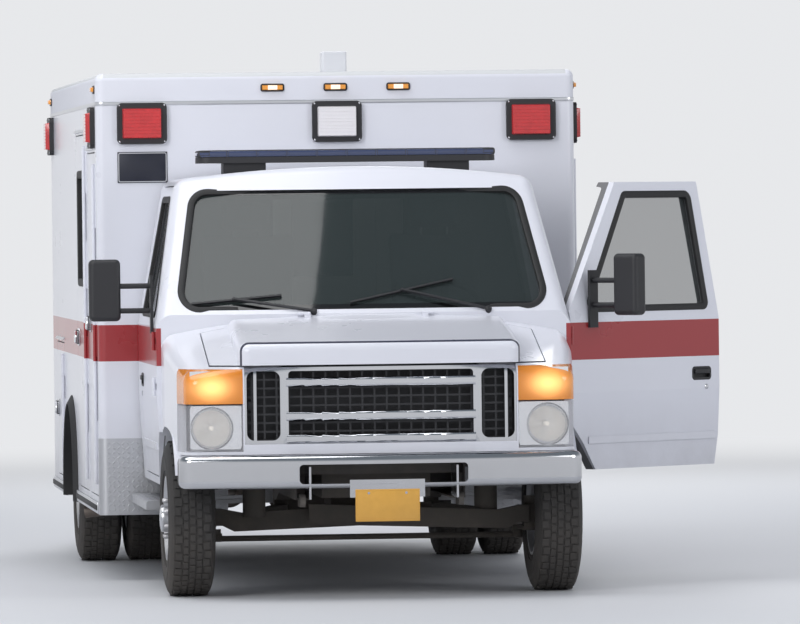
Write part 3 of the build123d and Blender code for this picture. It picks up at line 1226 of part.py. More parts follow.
with BuildPart() as box_floor:
    slab((-WALL_IN, WALL_IN), (BOX_START + BOX_WALL, BOX_END - BOX_WALL),
         (BOX_FLOOR_TOP - BOX_FLOOR, BOX_FLOOR_TOP))
    for locker in LOCKERS:
        locker_slab(locker, LINER + PLAY, Mode.SUBTRACT)
    slab((-BOX_HALF, ENTRY_DEPTH - BOX_HALF), (ENTRY_Y[0] - LINER - PLAY, ENTRY_Y[1] + LINER + PLAY),
         (0, BOX_FLOOR_TOP + 10), Mode.SUBTRACT)
    rail_top = [(y, z + RAIL_DEPTH) for y, z in RAIL_LINE if y > BOX_START]
    start = [(BOX_START + BOX_WALL, RAIL_LOW + RAIL_DEPTH)]
    close = [(BOX_END - FRAME_REAR_GAP, BOX_FLOOR_TOP - BOX_FLOOR),
             (BOX_START + BOX_WALL, BOX_FLOOR_TOP - BOX_FLOOR)]
    for side in SIDES:
        side_shape(start + rail_top + close, mirrored(side, (RAIL_OUT, RAIL_IN)))
write(box_floor, "box_floor")

CAP_ROUND = 36
with BuildPart() as box_roof:
    slab((-BOX_HALF, BOX_HALF), (BOX_START, BOX_END), (CAP_LOW, BOX_TOP))
    fillet(box_roof.edges().filter_by(Axis.Z), BOX_CORNER)
    fillet(box_roof.edges().group_by(Axis.Z)[-1], CAP_ROUND)
    slab((-WALL_IN, WALL_IN), (BOX_START + BOX_WALL, BOX_END - BOX_WALL),
         (CAP_LOW - PLAY, BOX_TOP - BOX_WALL),
         Mode.SUBTRACT)
write(box_roof, "box_roof")

FRAME_CLEAR = 160
with BuildPart() as box_front_wall:
    slab((-BOX_HALF, BOX_HALF), (BOX_START, BOX_START + BOX_WALL), (BOX_SKIRT, CAP_LOW))
    fillet(box_front_wall.edges().filter_by(Axis.Z).group_by(Axis.Y)[0], BOX_CORNER)
    slab((-RAIL_OUT - FRAME_CLEAR, RAIL_OUT + FRAME_CLEAR), (BOX_START - 10, BOX_START + BOX_WALL + 10),
         (BOX_SKIRT - 10, FRAME_MEMBER_TOP + 20), Mode.SUBTRACT)
    slab((-WALK_HALF, WALK_HALF), (BOX_START - 10, BOX_START + BOX_WALL + 10), (BOX_FLOOR_TOP, WALK_TOP),
         Mode.SUBTRACT)
write(box_front_wall, "box_front_wall")

for side, name in ((1, "left"), (-1, "right")):
    with BuildPart() as wall:
        slab(mirrored(side, (WALL_IN, BOX_HALF)), (BOX_START + BOX_WALL, BOX_END - BOX_WALL),
             (BOX_SKIRT, CAP_LOW))
        for locker in LOCKERS:
            if locker[1] == side:
                locker_slab(locker, LINER, Mode.ADD)
        for locker in LOCKERS:
            if locker[1] == side:
                locker_slab(locker, 0, Mode.SUBTRACT)
                slab(mirrored(side, (BOX_HALF - 10, BOX_HALF + 10)), locker[2:4], locker[4:6], Mode.SUBTRACT)
        if side == -1:
            slab(mirrored(side, (BOX_HALF - ENTRY_DEPTH, WALL_IN)), (ENTRY_Y[0] - LINER, ENTRY_Y[1] + LINER),
                 (ENTRY_Z[0] - LINER, BOX_FLOOR_TOP))
            slab(mirrored(side, (BOX_HALF - ENTRY_DEPTH + LINER, BOX_HALF + 10)), ENTRY_Y,
                 (ENTRY_Z[0], BOX_FLOOR_TOP + 5), Mode.SUBTRACT)
            slab(mirrored(side, (WALL_IN - 10, BOX_HALF + 10)), ENTRY_Y, ENTRY_Z, Mode.SUBTRACT)
        rod_x(mirrored(side, (WALL_IN - 10, BOX_HALF + 10)), REAR_AXLE, TYRE_R, REAR_ARCH_R, Mode.SUBTRACT)
        for locker in LOCKERS:
            if locker[1] == side:
                side_hinge(BOX_HALF, side, locker[2] + PANEL_GAP / 2, locker[4] + HINGE_END,
                           locker[5] - HINGE_END,
                           5, False)
        if side == -1:
            side_hinge(BOX_HALF, side, ENTRY_Y[0] + PANEL_GAP / 2, ENTRY_Z[0] + HINGE_END,
                       ENTRY_Z[1] - HINGE_END,
                       7, False)
    write(wall, f"box_{name}_wall")

KICK_LOW = 560
with BuildPart() as box_rear_frame:
    slab((-BOX_HALF, BOX_HALF), (BOX_END - BOX_WALL, BOX_END), (KICK_LOW, CAP_LOW))
    fillet(box_rear_frame.edges().filter_by(Axis.Z).group_by(Axis.Y)[-1], BOX_CORNER)
    slab((-REAR_DOOR_HALF, REAR_DOOR_HALF), (BOX_END - BOX_WALL - 10, BOX_END + 10), REAR_DOOR_Z,
         Mode.SUBTRACT)
    for side in SIDES:
        rear_hinge(side, REAR_DOOR_Z[0] + HINGE_END, REAR_DOOR_Z[1] - HINGE_END, 7, False)
write(box_rear_frame, "box_rear_frame")

# Box doors: lockers, entry and the rear pair

PADDLE_HALF = (60, 35)
PADDLE_OUT = 22
PADDLE_IN = 110
PADDLE_ROUND = 10


def shut_handle(side, y, z):
    """A paddle handle standing on a side door's outer face."""
    with BuildSketch(Plane(origin=(side * BOX_HALF, y, z), x_dir=(0, 1, 0), z_dir=(side, 0, 0))) as paddle:
        RectangleRounded(2 * PADDLE_HALF[0], 2 * PADDLE_HALF[1], PADDLE_ROUND)
    extrude(paddle.sketch, amount=PADDLE_OUT, taper=PADDLE_ROUND)


for name, side, y0, y1, z0, z1, depth in LOCKERS:
    with BuildPart() as locker_door:
        slab(mirrored(side, (WALL_IN + 5, BOX_HALF)), (y0 + PANEL_GAP, y1 - PANEL_GAP),
             (z0 + PANEL_GAP, z1 - PANEL_GAP))
        shut_handle(side, y1 - PADDLE_IN, (z0 + z1) / 2)
        side_hinge(BOX_HALF, side, y0 + PANEL_GAP / 2, z0 + HINGE_END, z1 - HINGE_END, 5, True)
    write(locker_door, f"{name}_door")

DOOR_GLASS_Z = (CAP_LOW - 910, CAP_LOW - 340)
ENTRY_GLASS_IN = 180
ENTRY_HANDLE_Z = 1200
ENTRY_GLASS_Y = (ENTRY_Y[0] + ENTRY_GLASS_IN, ENTRY_Y[1] - ENTRY_GLASS_IN)
with BuildPart() as entry_door:
    slab((-WALL_IN, -BOX_HALF), (ENTRY_Y[0] + PANEL_GAP, ENTRY_Y[1] - PANEL_GAP),
         (ENTRY_Z[0] + PANEL_GAP, ENTRY_Z[1] - PANEL_GAP))
    slab((-WALL_IN + 10, -BOX_HALF - 10), ENTRY_GLASS_Y, DOOR_GLASS_Z, Mode.SUBTRACT)
    shut_handle(-1, ENTRY_Y[1] - PADDLE_IN, ENTRY_HANDLE_Z)
    side_hinge(BOX_HALF, -1, ENTRY_Y[0] + PANEL_GAP / 2, ENTRY_Z[0] + HINGE_END, ENTRY_Z[1] - HINGE_END, 7,
               True)
write(entry_door, "entry_door")

with BuildPart() as entry_glass:
    slab((-BOX_HALF + GLASS_SET, -BOX_HALF + GLASS_SET + GLASS),
         (ENTRY_GLASS_Y[0] + BEARING_GAP, ENTRY_GLASS_Y[1] - BEARING_GAP),
         (DOOR_GLASS_Z[0] + BEARING_GAP, DOOR_GLASS_Z[1] - BEARING_GAP))
write(entry_glass, "entry_glass")

REAR_GLASS_X = (130, 470)
REAR_HANDLE_X = (50, 90)
REAR_HANDLE_Z = (1240, 1360)
for side, name in ((1, "left"), (-1, "right")):
    with BuildPart() as rear_door:
        slab(mirrored(side, (PANEL_GAP / 2, REAR_DOOR_HALF - PANEL_GAP)), (BOX_END - BOX_WALL, BOX_END),
             (REAR_DOOR_Z[0] + PANEL_GAP, REAR_DOOR_Z[1] - PANEL_GAP))
        slab(mirrored(side, REAR_GLASS_X), (BOX_END - BOX_WALL - 10, BOX_END + 10), DOOR_GLASS_Z,
             Mode.SUBTRACT)
        slab(mirrored(side, REAR_HANDLE_X), (BOX_END - PLAY, BOX_END + PADDLE_OUT), REAR_HANDLE_Z)
        rear_hinge(side, REAR_DOOR_Z[0] + HINGE_END, REAR_DOOR_Z[1] - HINGE_END, 7, True)
    write(rear_door, f"rear_door_{name}")
    with BuildPart() as rear_glass:
        slab(mirrored(side, (REAR_GLASS_X[0] + BEARING_GAP, REAR_GLASS_X[1] - BEARING_GAP)),
             (BOX_END - GLASS_SET - GLASS, BOX_END - GLASS_SET),
             (DOOR_GLASS_Z[0] + BEARING_GAP, DOOR_GLASS_Z[1] - BEARING_GAP))
    write(rear_glass, f"rear_glass_{name}")

# Patient space: cabinets along the left wall, the bench along the right

CABINET_DEPTH = 400
CABINET_END = REAR_LOCKER_Y[0] - 20
NICHE_Y = (MIDDLE_LOCKER_Y[1] + 50, CABINET_END - 400)
NICHE_Z = (SHORT_TOP - 50, SHORT_TOP + 350)
NICHE_BACK = 60
BENCH_DEPTH = 455
BENCH_START = ENTRY_Y[1] + 170
BENCH_LID = BENCH_TOP + LINER + PLAY
BENCH_CUSHION = 97
with BuildPart() as box_interior:
    slab((WALL_IN - CABINET_DEPTH, WALL_IN), (BOX_START + BOX_WALL, CABINET_END), (BOX_FLOOR_TOP, CAP_LOW))
    slab((WALL_IN - CABINET_DEPTH - 10, WALL_IN - NICHE_BACK), NICHE_Y, NICHE_Z, Mode.SUBTRACT)
    for locker in LOCKERS:
        locker_slab(locker, LINER + PLAY, Mode.SUBTRACT)
    slab((-WALL_IN, BENCH_DEPTH - WALL_IN), (BENCH_START, REAR_LOCKER_Y[0] - LINER - 3),
         (BOX_FLOOR_TOP, BENCH_LID))
    slab((-WALL_IN, BENCH_DEPTH - WALL_IN), (BENCH_START, BOX_END - BOX_WALL),
         (BENCH_LID + BEARING_GAP, BENCH_LID + BENCH_CUSHION))
write(box_interior, "box_interior")

# Lamps: framed warning lamps high on every face, marker lamps on the cap and the rear lamp clusters

LENS_TAPER = 12
WARNING_WIDTH = 250
WARNING_HEIGHT = 206
WARNING_DEPTH = 45
WARNING_RIM = 22
WARNING_FRAME = 24
WARNING_CORNER = 26
FRONT_LAMP_Z = CAP_LOW - 101
FRONT_LAMP_X = (-975, 5, 985)
SIDE_LAMP_Y = (BOX_START + 210, BOX_END - 210)
SIDE_LAMP_Z = CAP_LOW - 118
REAR_LAMP_X = 905


def warning_lamp(origin, out):
    """A warning lamp, standing out from the face that it is screwed to."""
    framed_lamp(origin, out, WARNING_WIDTH, WARNING_HEIGHT, WARNING_RIM, WARNING_FRAME, WARNING_DEPTH,
                WARNING_CORNER)


with BuildPart() as warning_lamps:
    for x in FRONT_LAMP_X:
        warning_lamp((x, BOX_START, FRONT_LAMP_Z), (0, -1, 0))
    for side in SIDES:
        for y in SIDE_LAMP_Y:
            warning_lamp((side * BOX_HALF, y, SIDE_LAMP_Z), (side, 0, 0))
        warning_lamp((side * REAR_LAMP_X, BOX_END, SIDE_LAMP_Z), (0, 1, 0))
write(warning_lamps, "warning_lamps")

MARKER_X = (-317, 0, 317)
MARKER_Z = CAP_LOW + 72
MARKER_Y = (BOX_START + 120, BOX_END - 120)
MARKER_WIDTH = 120
MARKER_HEIGHT = 40
MARKER_DEPTH = 20
MARKER_RIM = 6
MARKER_FRAME = 6
MARKER_CORNER = 12


def marker_lamp(origin, out):
    """A marker lamp on the roof cap."""
    framed_lamp(origin, out, MARKER_WIDTH, MARKER_HEIGHT, MARKER_RIM, MARKER_FRAME, MARKER_DEPTH,
                MARKER_CORNER)


with BuildPart() as marker_lamps:
    for x in MARKER_X:
        marker_lamp((x, BOX_START, MARKER_Z), (0, -1, 0))
        marker_lamp((x, BOX_END, MARKER_Z), (0, 1, 0))
    for side in SIDES:
        for y in MARKER_Y:
            marker_lamp((side * BOX_HALF, y, MARKER_Z), (side, 0, 0))
write(marker_lamps, "marker_lamps")

REAR_CLUSTER_Z = (BOX_FLOOR_TOP + 70, BOX_FLOOR_TOP + 240, BOX_FLOOR_TOP + 410)
REAR_CLUSTER = (230, 150)
REAR_CLUSTER_DEPTH = 28
with BuildPart() as rear_lamps:
    for side in SIDES:
        for z in REAR_CLUSTER_Z:
            framed_lamp((side * REAR_LAMP_X, BOX_END, z), (0, 1, 0), *REAR_CLUSTER, WARNING_RIM / 2,
                        WARNING_FRAME / 2,
                        REAR_CLUSTER_DEPTH, WARNING_CORNER)
write(rear_lamps, "rear_lamps")

# Rear step with its open grating, and the small emitter on the roof

STEP_HALF = 900
STEP_Z = (470, 530)
STEP_EDGE = 30
STEP_WELLS = 3
STEP_WELL = (2 * STEP_HALF - (STEP_WELLS + 1) * STEP_EDGE) / STEP_WELLS
STEP_BAR = 6
STEP_BARS = 11
STEP_ARM_Z = (500, 555)
STEP_MIDDLE = BOX_END + STEP_DEPTH / 2
with BuildPart() as rear_step:
    slab((-STEP_HALF, STEP_HALF), (BOX_END + BEARING_GAP, BOX_END + STEP_DEPTH), STEP_Z)
    fillet(rear_step.edges().filter_by(Axis.Z).group_by(Axis.Y)[-1], STEP_EDGE)
    with Locations((0, STEP_MIDDLE, (STEP_Z[0] + STEP_Z[1]) / 2)):
        with GridLocations(STEP_WELL + STEP_EDGE, 0, STEP_WELLS, 1):
            Box(STEP_WELL, STEP_DEPTH - 2 * STEP_EDGE, 2 * (STEP_Z[1] - STEP_Z[0]), mode=Mode.SUBTRACT)
    with Locations((0, STEP_MIDDLE, STEP_Z[1] - 20)):
        with GridLocations(0, (STEP_DEPTH - 2 * STEP_EDGE) / STEP_BARS, 1, STEP_BARS - 1):
            Box(2 * STEP_HALF - STEP_EDGE, STEP_BAR, 32)
    for side in SIDES:
        slab(mirrored(side, (RAIL_IN + 10, RAIL_OUT - 10)), (BOX_END - FRAME_REAR_GAP, BOX_END + STEP_EDGE),
             STEP_ARM_Z)
write(rear_step, "rear_step")

EMITTER_X = (-57, 69)
EMITTER_Y = (BOX_START + 110, BOX_START + 230)
EMITTER_HEIGHT = 103
EMITTER_ROUND = 12
with BuildPart() as roof_emitter:
    slab(EMITTER_X, EMITTER_Y, (BOX_TOP + BEARING_GAP, BOX_TOP + EMITTER_HEIGHT))
    fillet(roof_emitter.edges().filter_by(Axis.Z), EMITTER_ROUND)
    fillet(roof_emitter.edges().group_by(Axis.Z)[-1], EMITTER_ROUND / 2)
write(roof_emitter, "roof_emitter")
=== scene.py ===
import math
import bmesh
import bpy
from mathutils import Matrix, Vector


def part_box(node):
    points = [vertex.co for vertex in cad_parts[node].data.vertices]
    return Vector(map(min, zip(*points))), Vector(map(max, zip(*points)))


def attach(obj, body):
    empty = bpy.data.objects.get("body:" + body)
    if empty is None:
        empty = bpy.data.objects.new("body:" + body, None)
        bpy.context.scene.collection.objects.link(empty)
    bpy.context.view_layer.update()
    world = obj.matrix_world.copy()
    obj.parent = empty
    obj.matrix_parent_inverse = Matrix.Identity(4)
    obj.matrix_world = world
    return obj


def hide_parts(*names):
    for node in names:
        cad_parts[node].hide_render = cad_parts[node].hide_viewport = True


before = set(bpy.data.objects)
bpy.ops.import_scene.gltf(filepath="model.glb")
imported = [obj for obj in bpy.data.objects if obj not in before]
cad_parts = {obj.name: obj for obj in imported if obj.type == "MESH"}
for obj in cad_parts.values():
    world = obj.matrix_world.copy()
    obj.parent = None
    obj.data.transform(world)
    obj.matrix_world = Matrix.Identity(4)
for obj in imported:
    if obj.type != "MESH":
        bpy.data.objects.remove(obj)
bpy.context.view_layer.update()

# Places are measured in millimetres from the bumper's face, the centre plane and the ground
ROOF_LOW, ROOF_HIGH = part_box("box_roof")
ORIGIN = Vector(((ROOF_LOW.x + ROOF_HIGH.x) / 2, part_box("front_bumper")[0].y, 0))
TO_FRAME = Matrix.Translation(ORIGIN) @ Matrix.Scale(0.001, 4)
FROM_FRAME = TO_FRAME.inverted()
LEVEL = Matrix.Identity(4)
UP = Vector((0, 0, 1))
FORWARD = Vector((0, -1, 0))
BACKWARD = Vector((0, 1, 0))
SIDES = (1, -1)
LEFT_AND_RIGHT = ((1, "left"), (-1, "right"))

# Main sizes of the vehicle, as in the model
CAB_HALF = 1008
CAB_BELT = 1290
ROOF_HALF = 876
ROOF_EDGE = 1998
ROOF_TOP = 2058
CAB_LEAN = (CAB_HALF - ROOF_HALF) / (ROOF_EDGE - CAB_BELT)
COWL_Y = 850
COWL_Z = 1345
SCREEN_SLOPE = 0.75
SCREEN_BOW = 5395.0
GLASS_DEPTH = 14.4
BOX_FRONT = 2330
BOX_REAR = 6570
BOX_HALF = 1206
BOX_CORNER = 40
BOX_FLOOR = 830
BOX_CEILING = 2495
SKIRT = 330
CAP_SEAM = 2390
FRONT_AXLE = 745
REAR_AXLE = 4758
TYRE_R = 372
LEFT_DOOR_HINGE = Vector((1019, 997, 0))
LEFT_DOOR_OPEN = math.radians(48.5)
LEFT_DOOR_TURN = (Matrix.Translation(LEFT_DOOR_HINGE) @ Matrix.Rotation(-LEFT_DOOR_OPEN, 4, "Z")
                  @ Matrix.Translation(-LEFT_DOOR_HINGE))
DOOR_TURN = {1: LEFT_DOOR_TURN, -1: None}

# The windshield's outline with the border baked onto it, and the hood's raised panel, round which shade is
# painted
SCREEN_FOOT = (905, 1365)
SCREEN_HEAD = (800, 1945)
SCREEN_LINE = ((-SCREEN_FOOT[0], SCREEN_FOOT[1]), SCREEN_FOOT, SCREEN_HEAD,
               (-SCREEN_HEAD[0], SCREEN_HEAD[1]))
BORDER = 26
BORDER_FADE = 4.0
PANEL_HALF = 662
PANEL_TOP = 1217
PANEL_CORNER = 40
# Half width of the painted shade line round the panel
PANEL_SHADE_HALF_WIDTH = 4.5
PANEL_REAR = 330


def at(x, y, z):
    """A place on the vehicle, given in millimetres, as a point of the frame in metres."""
    return TO_FRAME @ Vector((x, y, z))


# Arithmetic on the outputs of nodes


def feed(value, socket):
    """Links a node's input to an output, or sets the input to a plain value."""
    source = getattr(value, "socket", value)
    if isinstance(source, bpy.types.NodeSocket):
        socket.id_data.links.new(source, socket)
    else:
        socket.default_value = value


def math_node(tree, operation, *values):
    """The output of a Math node that is fed by outputs or plain numbers."""
    node = tree.nodes.new("ShaderNodeMath")
    node.operation = operation
    for value, socket in zip(values, node.inputs):
        feed(value, socket)
    return Value(node.outputs[0])


class Value:
    """A node's output that plain arithmetic works on, by adding Math nodes to its tree."""

    def __init__(self, socket):
        self.socket = socket
        self.tree = socket.id_data

    def math(self, operation, *others):
        return math_node(self.tree, operation, self, *others)

    def __add__(self, other):
        return self.math("ADD", other)

    __radd__ = __add__

    def __sub__(self, other):
        return self.math("SUBTRACT", other)

    def __rsub__(self, other):
        return math_node(self.tree, "SUBTRACT", other, self)

    def __mul__(self, other):
        return self.math("MULTIPLY", other)

    __rmul__ = __mul__

    def __truediv__(self, other):
        return self.math("DIVIDE", other)

    def __mod__(self, other):
        return self.math("MODULO", other)

    def __lt__(self, other):
        return self.math("LESS_THAN", other)

    def __gt__(self, other):
        return self.math("GREATER_THAN", other)

    def __abs__(self):
        return self.math("ABSOLUTE")

    def at_least(self, other):
        return self.math("MAXIMUM", other)

    def clamped(self):
        """The same value kept between 0 and 1."""
        self.socket.node.use_clamp = True
        return self


# The Mix node's factor, its two colours and its mixed colour have no names of their own
MIX_INPUTS = (0, 6, 7)
MIX_OUTPUT = 2


def mix_colour(tree, factor, first, second):
    """A colour mix of two outputs or plain colours."""
    node = tree.nodes.new("ShaderNodeMix")
    node.data_type = "RGBA"
    for index, value in zip(MIX_INPUTS, (factor, first, second)):
        feed(value, node.inputs[index])
    return Value(node.outputs[MIX_OUTPUT])


def own_place(tree, turn=False):
    """The shaded point in the frame, or on the left door turned back to where it is shut."""
    place = Value(tree.nodes.new("ShaderNodeTexCoord").outputs["Object"])
    if not turn:
        return place
    hinge = TO_FRAME @ LEFT_DOOR_HINGE
    mapping = tree.nodes.new("ShaderNodeMapping")
    feed(hinge - Matrix.Rotation(LEFT_DOOR_OPEN, 4, "Z") @ hinge, mapping.inputs["Location"])
    feed((0, 0, LEFT_DOOR_OPEN), mapping.inputs["Rotation"])
    feed(place, mapping.inputs["Vector"])
    return Value(mapping.outputs[0])


def split(place):
    """The three parts of a place, in millimetres on the vehicle."""
    parts = place.tree.nodes.new("ShaderNodeSeparateXYZ")
    feed(place, parts.inputs[0])
    x, y, z = [Value(part) for part in parts.outputs]
    return (x - ORIGIN.x) * 1000, (y - ORIGIN.y) * 1000, z * 1000


def noise(tree, scale, detail, roughness):
    """Noise on the piece's own place in the frame."""
    node = tree.nodes.new("ShaderNodeTexNoise")
    for label, value in (("Scale", scale), ("Detail", detail), ("Roughness", roughness),
                         ("Vector", own_place(tree))):
        feed(value, node.inputs[label])
    return Value(node.outputs["Fac"])


# Shader groups that several finishes share

NUMBER = "NodeSocketFloat"
WHOLE = "NodeSocketInt"
COLOUR = "NodeSocketColor"
VECTOR = "NodeSocketVector"
PLAIN_GREY = (0.8, 0.8, 0.8, 1)
# How far inside the outer form a wall counts as lined: cab side, roof, behind the windshield, box
SIDE_DEPTH = 36
ROOF_DEPTH = 34
SCREEN_DEPTH = 40
WALL_DEPTH = 3


def add_inputs(tree, inputs):
    """Named inputs of a node group, each with its type and value."""
    for label, socket_type, value in inputs:
        socket = tree.interface.new_socket(label, in_out="INPUT", socket_type=socket_type)
        if value is not None:
            socket.default_value = value


def new_group(name, inputs, outputs):
    """An empty shader group, with its inputs as values and its output sockets, both by name."""
    group = bpy.data.node_groups.new(name, "ShaderNodeTree")
    add_inputs(group, inputs)
    for label, socket_type in outputs:
        group.interface.new_socket(label, in_out="OUTPUT", socket_type=socket_type)
    given = {socket.name: Value(socket) for socket in group.nodes.new("NodeGroupInput").outputs}
    return group, given, group.nodes.new("NodeGroupOutput").inputs


def new_mask(name, *inputs):
    """An empty group that turns a place into a share."""
    return new_group(name, (("Place", VECTOR, None), *inputs), (("Share", NUMBER),))


def make_surface_group():
    """Small unevenness of a surface: cloudy colour, uneven gloss and a fine bump."""
    group, given, result = new_group(
        "surface_unevenness",
        (("Colour", COLOUR, PLAIN_GREY), ("Cloud scale", NUMBER, 3.0), ("Cloud amount", NUMBER, 0.06),
         ("Gloss", NUMBER, 0.3), ("Gloss spread", NUMBER, 0.08), ("Grain scale", NUMBER, 300.0),
         ("Grain depth", NUMBER, 0.0002)),
        (("Colour", COLOUR), ("Roughness", NUMBER), ("Grain", NUMBER)))
    centred = noise(group, given["Cloud scale"], 4.0, 0.6) - 0.5
    shade = group.nodes.new("ShaderNodeHueSaturation")
    feed(centred * given["Cloud amount"] * 2.0 + 1.0, shade.inputs["Value"])
    feed(given["Colour"], shade.inputs["Color"])
    feed(shade.outputs[0], result["Colour"])
    feed((centred * given["Gloss spread"] * 2.0 + given["Gloss"]).clamped(), result["Roughness"])
    feed(noise(group, given["Grain scale"], 2.0, 0.5) * given["Grain depth"], result["Grain"])
    return group


def make_road_film_group():
    """Road film that thickens towards the ground, as a colour and a share."""
    group, given, result = new_group(
        "road_film",
        (("Colour", COLOUR, PLAIN_GREY), ("Film colour", COLOUR, (0.16, 0.14, 0.12, 1)),
         ("Top", NUMBER, 1000.0), ("Amount", NUMBER, 0.5)),
        (("Colour", COLOUR), ("Share", NUMBER)))
    height = split(own_place(group))[2]
    low = (1.0 - height / given["Top"]).clamped()
    share = (low * noise(group, 6.0, 6.0, 0.65) * given["Amount"] * 2.0).clamped()
    feed(mix_colour(group, share, given["Colour"], given["Film colour"]), result["Colour"])
    feed(share, result["Share"])
    return group


def make_band_group():
    """Share of a level band painted round the body, between two heights and beyond a width."""
    group, given, result = new_mask("level_band", ("Low", NUMBER, 1100.0), ("High", NUMBER, 1282.0),
                                    ("Outside", NUMBER, 0.0))
    x, _, z = split(given["Place"])
    feed((z > given["Low"]) * (z < given["High"]) * (abs(x) > given["Outside"]), result["Share"])
    return group


def make_cab_lining_group():
    """Share of the cab's inner side: where the point lies well inside the outer form."""
    group, given, result = new_mask("cab_lining")
    x, y, z = split(given["Place"])
    width = abs(x)
    side = (CAB_HALF - SIDE_DEPTH) - (z - CAB_BELT).at_least(0.0) * CAB_LEAN
    roof = (ROOF_TOP - ROOF_DEPTH) - width * width * ((ROOF_TOP - ROOF_EDGE) / ROOF_HALF ** 2)
    bow = x * x * (1 / (2 * SCREEN_BOW))
    front = bow + (z - COWL_Z).at_least(0.0) * SCREEN_SLOPE + (COWL_Y + SCREEN_DEPTH)
    feed((width < side) * (z < roof) * (y > front), result["Share"])
    return group


def make_box_lining_group():
    """Share of the box body's inner side, its rounded corners left out."""
    group, given, result = new_mask("box_lining")
    x, y, _ = split(given["Place"])
    within = (abs(x) < BOX_HALF - WALL_DEPTH) * (y > BOX_FRONT + WALL_DEPTH) * (y < BOX_REAR - WALL_DEPTH)
    middle = (BOX_FRONT + BOX_REAR) / 2
    at_end = abs(y - middle) > BOX_REAR - middle - BOX_CORNER - 1
    at_side = abs(x) > BOX_HALF - BOX_CORNER - 1
    feed(within * (1.0 - at_end * at_side), result["Share"])
    return group


def make_flute_group():
    """Height of the small level and upright flutes moulded into a lens."""
    group, given, result = new_group(
        "lens_flutes", (("Pitch", NUMBER, 12.0), ("Depth", NUMBER, 0.0006)), (("Height", NUMBER),))
    waves = [(part * (2 * math.pi) / given["Pitch"]).math("SINE") for part in split(own_place(group))]
    feed(sum(waves) * given["Depth"], result["Height"])
    return group


def make_screen_border_group():
    """Share of the black border baked onto the windshield's edge."""
    group, given, result = new_mask("screen_border")
    x, _, z = split(given["Place"])
    rise = z - SCREEN_FOOT[1]
    lean = (SCREEN_FOOT[0] - SCREEN_HEAD[0]) / (SCREEN_HEAD[1] - SCREEN_FOOT[1])
    past_side = abs(x) - ((SCREEN_FOOT[0] - BORDER) - rise * lean)
    past = past_side.at_least(BORDER - rise).at_least(z - (SCREEN_HEAD[1] - BORDER))
    feed((past / BORDER_FADE).clamped(), result["Share"])
    return group


def make_panel_shade_group():
    """Share of the painted shade round the raised panel on the hood's front: a dark line where the pressed
    step's shadow falls.
    """
    group, given, result = new_mask("hood_panel_painted_shade")
    x, y, z = split(given["Place"])
    across = (abs(x) - (PANEL_HALF - PANEL_CORNER)).at_least(0.0)
    rise = (z - (PANEL_TOP - PANEL_CORNER)).at_least(0.0)
    away = (across * across + rise * rise).math("SQRT")
    feed((abs(away - PANEL_CORNER) < PANEL_SHADE_HALF_WIDTH) * (y < PANEL_REAR), result["Share"])
    return group


SURFACE = make_surface_group()
ROAD_FILM = make_road_film_group()
SCREEN_BORDER = make_screen_border_group()
PANEL_SHADE_GROUP = make_panel_shade_group()
BAND = make_band_group()
CAB_LINING = make_cab_lining_group()
BOX_LINING = make_box_lining_group()
FLUTES = make_flute_group()

# Finishes

BAND_RED = (0.33, 0.025, 0.03, 1)
BAND_LOW = 1100
BAND_HIGH = 1282
CAB_BAND_OUTSIDE = 985
FLUTE_PITCH = 14.0
# How much road film and inner lining dull a surface
FILM_DULLS = 0.5
LINING_DULLS = 0.35
# Headlamp: the bulbs' places, the height where amber starts, its colour and how closed each half is
UPPER_BULB = (800, 232, 1010)
LOWER_BULB = (800, 215, 815)
LAMP_SPLIT = 928
LAMP_AMBER = (0.8, 0.27, 0.03, 1)
LOWER_ALPHA = 0.16
AMBER_ALPHA = 0.62
GLOW_COLOUR = (1.0, 0.62, 0.25, 1)
GLOW_SPREAD = -2600.0
GLOW_STRENGTH = 1.3
SCREEN_ALPHA = 0.7
DARK = (0.0, 0.0, 0.0, 1)
BORDER_BLACK = (0.006, 0.006, 0.007, 1)
# Painted shade: the colour of the dark line round the hood's raised panel
PANEL_SHADE_DARK = (0.03, 0.03, 0.06, 1)
WHITE = (0.72, 0.73, 0.79)
CLOTH_GREY = (0.115, 0.12, 0.13)
TRIM_GREY = (0.16, 0.16, 0.165)
BOX_INNER = (0.6, 0.61, 0.62)
GLASS = dict(spread=0.01, grain=(4.0, 0.0), IOR=1.5, Coat_Weight=0.5)
PAINT = dict(cloud=(2.0, 0.014), spread=0.02, Coat_Weight=0.35, Coat_Roughness=0.12, grain=(60.0, 0.00002))
BODY_FILM = (900, 0.45)
UNDER_FILM = (1200, 0.8)
WHEEL_FILM = (750, 0.5)


def placed_group(tree, group, **values):
    """The outputs of a shared group placed in a material with its own values."""
    node = tree.nodes.new("ShaderNodeGroup")
    node.node_tree = group
    for label, value in values.items():
        feed(value, node.inputs[label.replace("_", " ")])
    return {socket.name: Value(socket) for socket in node.outputs}


FINISHES = {}


